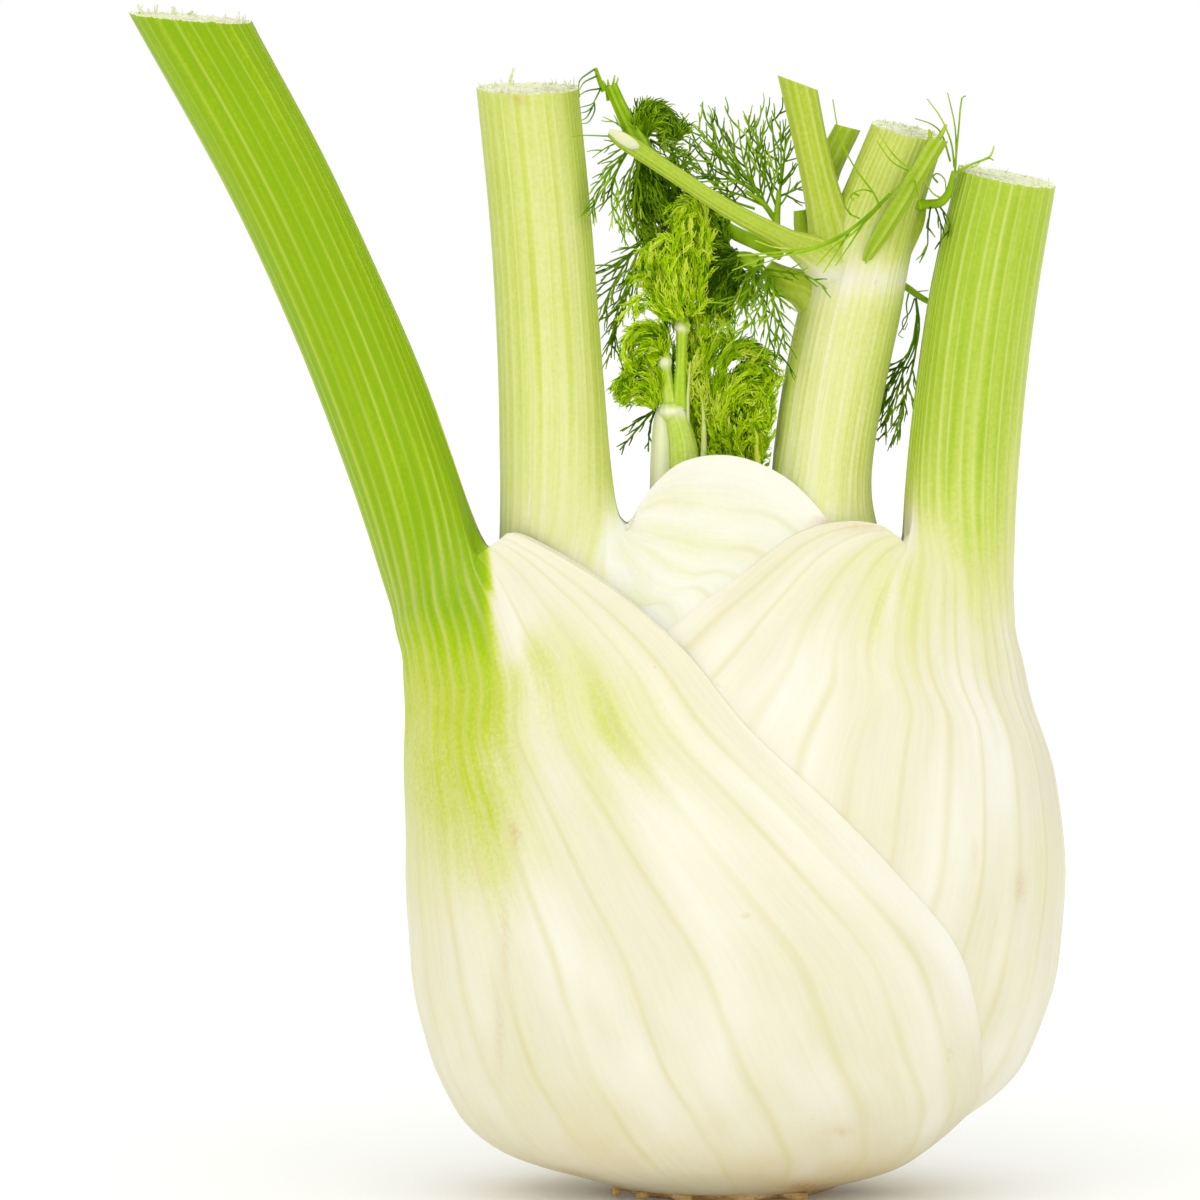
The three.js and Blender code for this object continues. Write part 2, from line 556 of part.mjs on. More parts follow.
// Dark frond at the end of the diagonal stem: a cut branch, a curled head, and sprays that hang down.
function frondDiagonalStem() {
  const head = V(-12, -0.6, 181.1);
  const hang = [
    [-13.6, -1.2, 175, 1.1], [-12.6, 2.6, 171.4, 2.4], [-12, 4.6, 167.4, 2.7], [-12.2, 6.5, 162.4, 1.6],
    [-14, 6.9, 157, 1.1], [-17, 6.6, 150, 0.9], [-19.4, 6.4, 144, 0.5],
  ];
  const tuft = [[-12.6, -0.4, 178.6, 1.6], [-9.8, 0, 175.6, 2.1], [-6.4, 0.6, 172.9, 1.2]];
  const sprays = [
    [[-15.6, -1.2, 176.6], [-22.4, -7, 164.5]], [[-14.8, -1, 175.4], [-19.6, -0.6, 161.6]],
    [[-14, -0.6, 174.6], [-17, 0.8, 162.4]], [[-16.6, -1.4, 180.2], [-24.4, -9.8, 178.6]],
    [[-15.4, -1.2, 177.4], [-22.6, -5.6, 171.4]],
    [[-11.6, -0.4, 178.8], [-7.2, 0.6, 180.6]],
    [[-13.6, 6.6, 160.4], [-21.4, 7.4, 154.6]], [[-14.6, 6.8, 155.9], [-20.8, 7.6, 148.6]],
    [[-17.2, 6.6, 149.8], [-18.9, 7, 139.4]],
  ];
  return joined([
    stem(
      [[-13, -1.2, 174.6, 1.1], [-15.6, -1.2, 178, 2], [-17.8, -1.2, 182.4, 1.6], [-19.7, -1.2, 187, 1.1]],
      7),
    stem([[-15.6, -1.2, 178.4, 1], [-13.6, -0.8, 180, 1.2], [-12.2, -0.6, 181, 1]], 6),
    stem(hang, 6, 0.7), ...headThreads(hang.slice(1, 4), 0.7, 9, 2.6, 50),
    stem(tuft, 6, 0.9), ...headThreads(tuft, 0.9, 9, 2.6, 49),
    egg(head, [3, 2.4, 2.9]), ...curlThreads(head, [3, 2.4, 2.9], 13, 2.8, 52),
    thread([V(-19.4, -1.2, 184.4), V(-20.8, -1.6, 187), V(-22.1, -2, 190)], 0.5),
    ...[[-24.8, 187], [-25, 185.6], [-24.6, 183.6], [-24.2, 181.2]].map(([x, z], i) => thread([
      V(-19.6 - 0.5 * i, -1.4, 185.2 + 0.9 * i), V(x + 2.6, -8 + i * 0.3, z + 2.2), V(x, -9.6, z)])),
    ...sprays.flatMap(([a, b], i) => feather(V(...a), V(...b), 3, 4.4, 53 + i, 0.03)),
  ]);
}

// Dark frond that runs back under the diagonal stem, dense near its root and hanging at its ends.
function frondUnderStem() {
  const core = [
    [-3, 4.9, 148, 1.4], [-1.8, 4.7, 151, 2.9], [-1.2, 4.6, 155.4, 3.6], [-0.8, 4.4, 159.6, 2.9],
    [-1, 3.8, 163.4, 1.4],
  ];
  const sprays = [
    [[4.2, 1.4, 156.7], [8.8, -9.8, 147.6]], [[4, 1.6, 156.8], [8.8, -9.4, 139.8]],
    [[3.6, 1.8, 156.8], [6, -8, 142.6]], [[3.2, 1.9, 157], [4, -5.6, 145.6]],
    [[2.6, 2.1, 157], [0.6, -5, 146]], [[1.4, 2.8, 158], [-2.2, -3.6, 150]],
    [[2.2, 3.4, 156], [4.6, 7.4, 149]], [[-0.9, 3.6, 163.4], [1.6, 4.8, 169.6]],
  ];
  return joined([
    stem([[9, -1.4, 158.4, 1.1], [5, 0.2, 160.2, 1.3], [0, 3, 162.6, 1.3], [-3, 4.2, 166.4, 0.8]], 6),
    stem([[4.4, 1.4, 156.8, 1.1], [2.4, 2.2, 157, 1.5], [0, 3.4, 157.4, 1.2]], 6),
    stem(core, 7, 0.6), ...headThreads(core, 0.6, 18, 2.4, 71),
    ...sprays.flatMap(([a, b], i) => feather(V(...a), V(...b), 3, 4.4, 72 + i, 0.03)),
  ]);
}

// Open dark fan that stands up behind the diagonal stem.
function frondOpenFan() {
  const tips = [
    [[8.2, 2.4, 164], [8.8, 2.4, 180.6]], [[8.6, 2.4, 168], [9.2, 4.8, 180]],
    [[7.6, 2.4, 164.6], [4.6, 2.4, 182]], [[5.4, 2.4, 167.2], [1.8, 3, 181]],
    [[5, 2.4, 167.6], [-2.8, 3, 180.8]], [[3.6, 2.4, 168.4], [-5.6, 2.4, 176]],
    [[8.6, 2.4, 168], [12.2, 7.4, 170]],
  ];
  return joined([
    stem([[8.3, 2.9, 158.6, 0.7], [8.4, 2.3, 161, 0.8], [8.3, 2.4, 164, 0.7], [8.6, 2.4, 169, 0.5]], 5),
    stem([[8.3, 2.4, 163.6, 0.6], [6, 2.4, 166.8, 0.6], [3, 2.4, 168.8, 0.45]], 5),
    ...tips.flatMap(([a, b], i) => feather(V(...a), V(...b), 4, 4.8, 91 + i)),
  ]);
}

// Thread-like frond that comes round in front of the node and droops to the left.
function frondOverNode() {
  const run = [
    [26.9, -9, 168.6], [23, -10, 164.6], [18, -10.4, 161.2], [10, -10, 159.2], [1.5, -9.2, 158.4],
  ];
  return joined([
    stem(run.map((p, i) => [...p, 0.6 - 0.06 * i]), 4),
    ...feather(V(18.6, -10.3, 161.6), V(15.8, -10.8, 155.4), 1, 3, 111),
    ...feather(V(20.6, -10.2, 163), V(17.6, -10.8, 156.8), 1, 3, 112),
    ...feather(V(11, -10, 159.4), V(1, -10.4, 156.4), 3, 3.4, 113),
    thread([V(25, -9.6, 166.8), V(20.8, -9.8, 173.4), V(18.5, -9.4, 179), V(17.4, -9.2, 184.9)]),
    thread([V(24.2, -9.8, 165.8), V(21, -10.4, 168.6), V(19.6, -10.4, 168)]),
  ]);
}

// Dark frond that curls up from the right side of the node towards the right stalk.
function frondRightTip() {
  const tops = [[38.8, 184.6], [36.6, 185.6], [33.2, 184.6], [31, 181.2], [39.6, 180]];
  return joined([
    stem(
      [[33.6, -2.2, 167.2, 0.8], [35.2, -3.6, 167.2, 0.8], [36.7, -4.8, 169, 0.8], [37.5, -4.8, 172.4, 0.7]],
      5),
    stem([[37.4, -4.8, 171.9, 0.6], [40.6, -5.4, 173.6, 0.6], [43.6, -5.6, 175.2, 0.4]], 5),
    thread([V(43, -5.6, 174.8), V(43.9, -5.6, 175.8), V(44.3, -5.6, 176.8)]),
    ...tops.map(([x, z], i) => thread([
      V(37.4, -4.6, 171.2 + 0.3 * i), V(38.2 - 0.3 * i, i === 3 ? -9.6 : -3.8, 176),
      V(x + (38 - x) * 0.3, i === 3 ? -9.8 : -3, z - 2.6), V(x, i === 3 ? -9.8 : -3, z)])),
    ...feather(V(34.4, -3, 167.2), V(36, -4.6, 160), 2, 3, 121),
    ...feather(V(34.6, -3, 167.2), V(32.6, -6, 159.4), 2, 3, 122),
  ]);
}

// Dark frond behind, between the right inner and the right outer stalks.
function frondBackRight() {
  return joined([
    stem([[30.2, 4, 152.4, 0.8], [31.6, 3.6, 151.2, 0.9], [33.4, 3.2, 150, 0.5]], 5),
    stem([[31, 4, 151.6, 0.7], [30.6, 4.6, 146, 0.7], [29, 5, 138, 0.6], [27, 5, 129, 0.5]], 5),
    ...[0, 1, 2, 3].flatMap((i) => feather(
      V(30.6 - 0.9 * i, 4.7, 147 - 5 * i), V(30.6 - 1.4 * i, 5.4, 139 - 4.6 * i), 3, 3, 131 + i)),
  ]);
}

// ---- the whole bulb ----

const model = new THREE.Group();
const roomForRoot = rootBase(GAP);
const roomForHeart = heartBase(GAP + 0.1);

// The open pocket behind the left inner leaf's front margin, where the shoot stands.
const pocket = stem(
  [[2, 0.4, 108, 12.5], [1.6, 0.4, 112, 17], [1, 0.3, 119, 17.2], [0.6, 0.2, 130, 17]], 20, 0.5);

const sliver = (rows) => stem(rows, 4, 0.5);
const leftOuterSolid = cutBy(
  joined([leafBody(leftOuter, leftOuter.columns, 0, true), ...leftOuterSlivers.map(sliver)]),
  [roomForRightOuter, roomForLeftInner, roomForRoot]);
const rightOuterSolid = cutBy(leafBody(rightOuter, rightOuter.columns, 0, true),
  [roomForLeftInner, roomForRightInner, roomForRoot]);
const leftInnerSolid = cutBy(
  joined([leafBody(leftInner, leftInner.columns, 0, true), sliver(leftInnerSliver)]),
  [roomForRightInner, roomForHeart, pocket, roomForRoot]);
const rightInnerSolid = cutBy(
  joined([leafBody(rightInner, rightInner.columns, 0, true), ...rightInnerBranches]),
  [roomForHeart, roomForRoot]);

model.add(meshOf('root_base', rootBase(0), ROOT_LOOK));
model.add(meshOf('leaf_left_outer', leftOuterSolid, LEFT_OUTER_LOOK));
model.add(meshOf('leaf_right_outer', rightOuterSolid, RIGHT_OUTER_LOOK));
model.add(meshOf('leaf_left_inner', leftInnerSolid, INNER_LOOK));
model.add(meshOf('leaf_right_inner', rightInnerSolid, INNER_LOOK));
model.add(meshOf('heart_shoot', heartShoot, SHOOT_LOOK));
model.add(meshOf('frond_heart_plume', plume(), YOUNG_FROND_LOOK));
model.add(meshOf('frond_heart_curl_upper', frondCurlUpper(), YOUNG_FROND_LOOK));
model.add(meshOf('frond_heart_curl_lower', frondCurlLower(), YOUNG_FROND_LOOK));
model.add(meshOf('frond_heart_left', frondHeartLeft(), DARK_FROND_LOOK));
model.add(meshOf('frond_heart_spray', frondHeartSpray(), YOUNG_FROND_LOOK));
model.add(meshOf('frond_heart_right', frondHeartRight(), YOUNG_FROND_LOOK));
model.add(meshOf('frond_diagonal_stem', frondDiagonalStem(), DARK_FROND_LOOK));
model.add(meshOf('frond_under_stem', frondUnderStem(), DARK_FROND_LOOK));
model.add(meshOf('frond_open_fan', frondOpenFan(), DARK_FROND_LOOK));
model.add(meshOf('frond_over_node', frondOverNode(), DARK_FROND_LOOK));
model.add(meshOf('frond_right_tip', frondRightTip(), DARK_FROND_LOOK));
model.add(meshOf('frond_back_right', frondBackRight(), DARK_FROND_LOOK));

export default model;
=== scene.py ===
"""A trimmed Florence fennel bulb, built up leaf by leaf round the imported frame. Lengths are in millimetres
until a mesh is made, and X is right, Y is back, Z is up, as in the frame."""

import math

import bpy
import numpy as np
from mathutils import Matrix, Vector


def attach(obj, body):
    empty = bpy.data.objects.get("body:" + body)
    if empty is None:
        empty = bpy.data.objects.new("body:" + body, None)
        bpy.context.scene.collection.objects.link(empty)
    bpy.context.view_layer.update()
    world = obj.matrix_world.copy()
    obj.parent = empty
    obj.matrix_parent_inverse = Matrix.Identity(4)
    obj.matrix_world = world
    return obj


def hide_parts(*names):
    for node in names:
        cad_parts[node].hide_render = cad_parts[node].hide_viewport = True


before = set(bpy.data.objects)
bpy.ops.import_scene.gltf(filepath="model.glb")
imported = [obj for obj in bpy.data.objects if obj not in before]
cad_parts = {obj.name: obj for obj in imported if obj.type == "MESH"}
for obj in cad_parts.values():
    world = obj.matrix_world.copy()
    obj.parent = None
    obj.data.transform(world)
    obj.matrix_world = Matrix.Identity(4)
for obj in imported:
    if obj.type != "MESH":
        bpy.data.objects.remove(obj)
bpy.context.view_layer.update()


# ----------------------------------------
# Left outer leaf. The oldest leaf base: a thick, juicy sheath wrapped round the whole bulb, closing into a
# ribbed stalk that leans out to the left. It grew from the root plate, and its stalk was cut with a knife.

MM = 0.001              # metres in a millimetre


def ease(value):
    """0 for a value up to 0, 1 from 1 on, and a soft rise between them."""
    part = np.clip(value, 0, 1)
    return part * part * (3 - 2 * part)


def table_at(rows, key):
    """Rows [key, value, value ...] read smoothly at every key given; one array for each value."""
    rows = np.asarray(rows, float)
    key = np.clip(key, rows[0, 0], rows[-1, 0])
    i = np.clip(np.searchsorted(rows[:, 0], key, side="left") - 1, 0, len(rows) - 2)
    here, ahead = rows[i], rows[i + 1]
    before, after = rows[np.maximum(i - 1, 0)], rows[np.minimum(i + 2, len(rows) - 1)]
    span = ahead[..., :1] - here[..., :1]
    f = (key[..., None] - here[..., :1]) / span
    slope_here = (ahead - before) / (ahead - before)[..., :1]
    slope_ahead = (after - here) / (after - here)[..., :1]
    value = ((2 * f**3 - 3 * f**2 + 1) * here + (f**3 - 2 * f**2 + f) * span * slope_here
             + (3 * f**2 - 2 * f**3) * ahead + (f**3 - f**2) * span * slope_ahead)
    return np.moveaxis(value[..., 1:], -1, 0)


def numbered(rows):
    """The rows with their own numbers put in front, as the keys for table_at."""
    return np.column_stack([np.arange(len(rows)), rows])


STALK_CLOSE = 0.95      # share of the full turn that the stalk's skin takes; the rest is its groove
SHEATH_RELIEF = 0.16    # how far a vein stands out of a sheath
SHEATH_VEIN = 0.0075    # half width of a vein's line, as a share of half the leaf's breadth
SWELL_WIDTH = 2.6       # the soft swelling under a vein, in widths of its line
HALO_WIDTH = 5          # how far a vein leads the green of its leaf along, in widths of its line
WALL = 2.0              # thickness of a sheath's flesh
EDGE = 0.35             # thickness of its margin, which lies down on the leaf below
LUMPS = 0.16            # height of the soft lumps on a sheath
SPREAD_BEND = 0.04      # softness of the bend where a stalk's columns pass into its wing's
CREST_FROM = 6          # row of a sheath from which a crested margin starts to steepen
CREST_ROWS = 3          # rows over which it does so
CLASP_ROWS = 3          # rows of a stalk over which its deep foot turns round
TILT_ROWS = 1.6         # rows of a stalk, at its top, over which its rings tilt into the plane of the cut


def spread_out(leaf, u, t):
    """Where across the leaf a column lies. Near the crease the stalk's half of the columns, |u| under 0.5,
    takes up most of the sheath's breadth, and the rest crowd into its wing, so that veins run on straight."""
    half, = table_at(leaf["spread"], t)
    beyond = SPREAD_BEND * np.log1p(np.exp((abs(u) - 0.5) / SPREAD_BEND))
    return np.sign(u) * (2 * half * abs(u) - (4 * half - 2) * beyond)


def margin_share(u):
    """0 over most of a sheath, rising to 1 at its margins, where the flesh thins."""
    return ease((abs(u) - 0.78) / 0.22)


def sheath_points(leaf, u, t, grow):
    """The sheath's surface. u runs from the front margin, -1, to the back one, +1, and t from the base up."""
    angle, margin, midrib, thinning = table_at(numbered(leaf["sheath"]), t)
    drop = np.where(u > 0, leaf["back_drop"] * ease((t - 4) / 4), 0)
    rise = 2 + leaf["crest"] * ease((t - CREST_FROM) / CREST_ROWS)
    height = midrib + (margin - drop - midrib) * abs(u) ** rise
    left, right, depth = table_at(leaf["layer"], height)
    turn = np.radians(angle) * u
    offset = grow - thinning * margin_share(u)
    x = (right + left) / 2 + leaf["side"] * ((right - left) / 2 + offset) * np.cos(turn)
    return np.stack([x, (depth + offset) * np.sin(turn), height], -1)


def stalk_points(leaf, u, k, grow):
    """The stalk's surface. Towards the top, its rings tilt until they lie in the plane of the cut."""
    rows = numbered(leaf["stalk"])
    last = len(rows) - 1
    x, y, z, radius = table_at(rows, k)
    x0, _, z0, _ = table_at(rows, np.maximum(0, k - 0.5))
    x1, _, z1, _ = table_at(rows, np.minimum(last, k + 0.5))
    length = np.hypot(x1 - x0, z1 - z0)
    along_x, along_z = (x1 - x0) / length, (z1 - z0) / length
    turn = np.pi * STALK_CLOSE * u
    outward = leaf["side"] * np.cos(turn) * (radius + grow)
    half_depth = radius * (1 + leaf["clasp"] * (1 - ease(k / CLASP_ROWS))) + grow
    tilt = ease((k - last + TILT_ROWS) / TILT_ROWS)
    slide = tilt * (leaf["cut"] * along_z + along_x) / (along_z - leaf["cut"] * along_x)
    return np.stack([x + outward * (along_z + slide * along_x),
                     y + half_depth * np.sin(turn),
                     z + outward * (-along_x + slide * along_z)], -1)


def stalk_share(leaf, t):
    """0 on the sheath, 1 on the stalk."""
    return ease((t - len(leaf["sheath"]) + 2) / 2)


def leaf_points(leaf, u, t, grow):
    """The whole leaf's surface, moved outwards by grow: its sheath passes into its stalk near the crease."""
    crease = len(leaf["sheath"]) - 1
    blend = stalk_share(leaf, t)[..., None]
    u = spread_out(leaf, u, t)
    sheath = sheath_points(leaf, u, np.minimum(t, crease), grow)
    stalk = stalk_points(leaf, u, np.maximum(t - crease + 1, 0), grow)
    return sheath * (1 - blend) + stalk * blend


def evened(leaf, rows, t, u):
    """How far to move each point near the crease so that the columns run on smoothly from sheath to stalk."""
    reach, start, stop, full, none = leaf["even"]
    base = leaf_points(leaf, u, t, 0)
    weight = np.exp(-((rows[:, None] - rows[None]) / reach) ** 2) * np.gradient(rows)
    smooth = np.einsum("ij,jkc->ikc", weight / weight.sum(1)[:, None], base)
    mask = ease((t - start) / 2) * (1 - ease((t - stop) / 2)) * (1 - ease((abs(u) - full) / (none - full)))
    return (smooth - base) * mask[..., None]


def vein_at(leaf, u, t, spread=1.0):
    """1 on the crest of a vein, falling to 0 beside it; spread widens it. Fine veins fade out below a row."""
    crease = len(leaf["sheath"]) - 1
    width = spread * (SHEATH_VEIN + (leaf["stalk_vein"] - SHEATH_VEIN) * stalk_share(leaf, t))
    # A vein broadens where the sheath gathers into the stalk.
    width = width * (1 + 0.6 * np.exp(-((t - crease - 0.5) / 2.2) ** 2))
    strongest = np.zeros_like(u)
    for i, (place, breadth, fades_below) in enumerate(leaf["veins"]):
        # Along its length each vein grows a little fainter and stronger in a rhythm of its own.
        strength = 0.7 + 0.3 * np.sin(1.7 * i + 0.9 * t + 2 * np.sin(0.6 * t + i))
        strength = strength * ease((t - fades_below) / 3)
        strongest = np.maximum(strongest, strength * np.exp(-((u - place) / (width * breadth)) ** 2))
    return strongest


def flap_at(leaf, u, t):
    """How far the veins sink in on the smooth white shoulder, where the margin climbs to the stalk."""
    crease = len(leaf["sheath"]) - 1
    beyond, rows_below, share = leaf["flap"]
    return share * ease((abs(u) - beyond) / 0.12) * ease((t - crease + rows_below) / 1.6) \
        * (1 - ease((t - crease - 0.4) / 1.4))


MAX_STEP = 0.02         # the widest gap between two columns of a leaf's outer skin
NEAR_VEIN = np.array([-20, -12, -7, -3, 0, 3, 7, 12, 20]) * 0.001   # columns across one vein
INNER_COLUMNS = 49      # columns of its plain inner skin


def leaf_columns(leaf):
    """Values of u across the leaf, close together on the veins and up to MAX_STEP apart between them."""
    wanted = np.concatenate([[-1, 1]] + [place + NEAR_VEIN for place, _, _ in leaf["veins"]])
    wanted = np.unique(np.round(wanted[abs(wanted) <= 1], 3))
    columns = [wanted[0]]
    for column in wanted[1:]:
        steps = max(1, math.ceil((column - columns[-1]) / MAX_STEP))
        columns.extend(np.linspace(columns[-1], column, steps + 1)[1:])
    return np.array(columns)


def grid_faces(a, b):
    """Quads between two rows of point numbers, one row above the other."""
    return np.stack([a[:-1], a[1:], b[1:], b[:-1]], -1).reshape(-1, 4)


def plain(faces, start=0):
    """Faces as tuples of whole numbers, with the points counted on from start."""
    return [tuple(int(n) + start for n in face) for face in faces]


def ringed(rings):
    """Quads between closed rings of point numbers, each above the one before."""
    closed = np.concatenate([rings, rings[:, :1]], 1)
    return plain(np.concatenate([grid_faces(below, above) for below, above in zip(closed, closed[1:])]))


def fan_to(middle, ring):
    """Triangles from a closed ring of point numbers to the point in its middle."""
    return [(int(a), int(b), middle) for a, b in zip(ring, np.roll(ring, -1))]


# Rings of points inside the rim of a cut: share of the rim's radius, how far they dip, and their roughness.
CUT_RINGS = ((0.95, 0.05, 0.05), (0.86, 0.2, 0.1), (0.66, 0.3, 0.12), (0.42, 0.3, 0.12), (0.2, 0.3, 0.1))
CUT_DIP = 0.4           # how far the middle of a cut dips


def leaf_shell(leaf):
    """A closed shell: outer skin, the sheath's inner skin, both margins, the stalk's groove and its cut."""
    crease = len(leaf["sheath"]) - 1
    end = crease + len(leaf["stalk"]) - 2
    rows = np.concatenate([np.arange(0, crease - 2, 0.17), np.arange(crease - 2, crease + 2, 0.11),
                           np.arange(crease + 2, end - 0.2, 0.25), np.linspace(end - 0.2, end, 5)])
    closed_from = int(np.searchsorted(rows, crease + 1))
    columns = leaf_columns(leaf)
    u, t = np.meshgrid(columns, rows)
    share = stalk_share(leaf, t)
    sunk = 1 - flap_at(leaf, u, t)
    line = vein_at(leaf, u, t) * sunk
    swelling = vein_at(leaf, u, t, SWELL_WIDTH) * sunk
    relief = SHEATH_RELIEF * (1 - share) * ease(t / 3) + leaf["stalk_relief"] * share
    near_midrib = 1 + 0.9 * (1 - ease((abs(u) - 0.2) / 0.3)) * (1 - share)
    lumps = LUMPS * np.sin(9 * u + 2.1 * t + leaf["side"]) * np.sin(1.3 * t - 5 * u)
    lumps = lumps * ease(t / 2) * (1 - share)
    thin = table_at(numbered(leaf["sheath"]), np.minimum(t, crease))[3]
    spread = spread_out(leaf, u, t)
    laid_down = np.maximum(leaf["edge"] - thin, 0) * ease((abs(spread) - 0.86) / 0.14)
    laid_down = laid_down * (1 - share) * ease(t / 3)
    furrow = relief * near_midrib * (1 - 0.7 * swelling - 0.3 * line)
    outer = leaf_points(leaf, u, t, lumps - furrow - laid_down)
    shift = evened(leaf, rows, t, u)
    outer += shift
    # The knife left the back of the cut higher than the front, and its rim a little ragged.
    rim_random = np.random.default_rng(len(leaf["veins"]) * 7 + crease)
    middle_y = leaf["stalk"][-1][1]
    rough = rim_random.uniform(-0.1, 0.08, outer.shape[1]) + 0.3 * rim_random.random(outer.shape[1]) ** 10
    at_cut = ease((t - end + 0.5) / 0.5)
    outer[..., 2] += at_cut * leaf["cut_tilt"] * (outer[..., 1] - middle_y) + at_cut ** 12 * rough

    inner_u, inner_t = np.meshgrid(np.linspace(-1, 1, INNER_COLUMNS), rows[:closed_from + 1])
    inner_thin = np.maximum(table_at(numbered(leaf["sheath"]), np.minimum(inner_t, crease))[3], leaf["edge"])
    inner_thin = inner_thin * margin_share(spread_out(leaf, inner_u, inner_t))
    inner_depth = np.maximum(inner_thin + EDGE, np.minimum(WALL, inner_thin + 1.1))
    inner = leaf_points(leaf, inner_u, inner_t, -inner_depth)
    for r in range(len(inner)):
        inner[r] += np.stack([np.interp(inner_u[r], columns, shift[r, :, c]) for c in range(3)], -1)

    points = [outer.reshape(-1, 3), inner.reshape(-1, 3)]
    count = outer.shape[1]
    out = np.arange(outer.shape[0] * count).reshape(-1, count)
    ins = out.size + np.arange(inner.shape[0] * INNER_COLUMNS).reshape(-1, INNER_COLUMNS)
    faces = [grid_faces(out[r], out[r + 1]) for r in range(len(rows) - 1)]
    faces += [grid_faces(ins[r + 1], ins[r]) for r in range(closed_from)]
    margins = out[:closed_from + 1]
    faces.append(np.stack([margins[:-1, 0], margins[1:, 0], ins[1:, 0], ins[:-1, 0]], -1))
    faces.append(np.stack([margins[1:, -1], margins[:-1, -1], ins[:-1, -1], ins[1:, -1]], -1))
    groove = out[closed_from:]
    faces.append(np.stack([groove[:-1, -1], groove[:-1, 0], groove[1:, 0], groove[1:, -1]], -1))
    # The base joins the two skins, and one many-sided face closes the inside of the stalk.
    base = np.concatenate([out[0][::-1], ins[0]])
    stalk_inside = np.concatenate([ins[closed_from], out[closed_from][[-1, 0]]])
    faces = plain(np.concatenate(faces)) + plain([base, stalk_inside])
    skin_faces = len(faces)
    # The cut: rings inside the rim, slightly dished and rough, down to one middle point.
    rim = outer[-1]
    middle = rim.mean(0)
    ring = out[-1]
    start = out.size + inner.size // 3
    for share_in, dip, rough_by in CUT_RINGS:
        lower = np.zeros((count, 3))
        lower[:, 2] = dip + rim_random.uniform(-rough_by, rough_by, count)
        points.append(middle + (rim - middle) * share_in - lower)
        following = start + np.arange(count)
        start += count
        faces += ringed(np.stack([ring, following]))
        ring = following
    points.append(middle[None] - np.array([0, 0, CUT_DIP]))
    faces += fan_to(start, ring)
    points = np.concatenate(points)
    if leaf["side"] > 0:
        faces = [face[::-1] for face in faces]
    spare = np.zeros(len(points) - out.size)
    inner_green = leaf["green"](inner_u, inner_t, inner[..., 0], inner[..., 2], 0 * inner_u).ravel()
    halo = vein_at(leaf, u, t, HALO_WIDTH)
    looks = {
        "vein": np.concatenate([line.ravel(), spare]),
        "green": np.concatenate([leaf["green"](u, t, outer[..., 0], outer[..., 2], halo).ravel(), inner_green,
                                 spare[len(inner_green):]]),
        "stalk": np.concatenate([share.ravel(), spare]),
        "blush": np.concatenate([leaf["blush"](u, t, outer[..., 0], outer[..., 2]).ravel(), spare]),
        "tan_foot": np.concatenate([np.exp(-(outer[..., 2].ravel() / 15) ** 2), spare]),
    }
    across = np.concatenate([np.stack([u, t], -1).reshape(-1, 2), np.zeros((len(spare), 2))])
    return points, faces, skin_faces, looks, across, rim


def made_mesh(name, points, faces, looks=None, across=None, soft_angle=48):
    """A mesh in metres from points in millimetres, with its looks as point attributes."""
    mesh = bpy.data.meshes.new(name)
    mesh.from_pydata((np.asarray(points) * MM).tolist(), [], faces)
    for key, values in (looks or {}).items():
        mesh.attributes.new(key, "FLOAT", "POINT").data.foreach_set("value", np.asarray(values, np.float32))
    if across is not None:
        loops = np.empty(len(mesh.loops), np.int32)
        mesh.loops.foreach_get("vertex_index", loops)
        mesh.uv_layers.new(name="fibre").data.foreach_set("uv", across[loops].astype(np.float32).ravel())
    mesh.shade_smooth()
    mesh.set_sharp_from_angle(angle=math.radians(soft_angle))
    piece = bpy.data.objects.new(name, mesh)
    bpy.context.collection.objects.link(piece)
    return piece


def linear(hex_code):
    """An sRGB hex colour as linear RGBA."""
    parts = [int(hex_code[i:i + 2], 16) / 255 for i in (1, 3, 5)]
    return [p / 12.92 if p <= 0.04045 else ((p + 0.055) / 1.055) ** 2.4 for p in parts] + [1.0]


def add_node(tree, kind, settings=None, links=None):
    """Adds a shader node. A setting is a property or a socket's value, with hex for a colour. A link is
    socket: output, or socket: node for that node's first output."""
    node = tree.nodes.new("ShaderNode" + kind)
    for key, value in (settings or {}).items():
        if isinstance(value, str) and value.startswith("#"):
            value = linear(value)
        if key == "stops":
            for i, (place, colour) in enumerate(value):
                stop = node.color_ramp.elements[i] if i < 2 else node.color_ramp.elements.new(place)
                stop.position = place
                stop.color = linear(colour) if isinstance(colour, str) else [colour] * 3 + [1]
        elif isinstance(key, str) and hasattr(node, key):
            setattr(node, key, value)
        else:
            node.inputs[key].default_value = value
    for key, source in (links or {}).items():
        output = source.outputs[0] if isinstance(source, bpy.types.Node) else source
        tree.links.new(output, node.inputs[key])
    return node


def new_material(name):
    """An empty material, its tree, and the places on the object, in metres, that patterns are scaled by."""
    material = bpy.data.materials.new(name)
    material.use_nodes = True
    tree = material.node_tree
    tree.nodes.clear()
    return material, tree, add_node(tree, "TexCoord").outputs["Object"]


def finish_material(tree, shader_settings, shader_links):
    shader = add_node(tree, "BsdfPrincipled", shader_settings, shader_links)
    add_node(tree, "OutputMaterial", links={"Surface": shader})


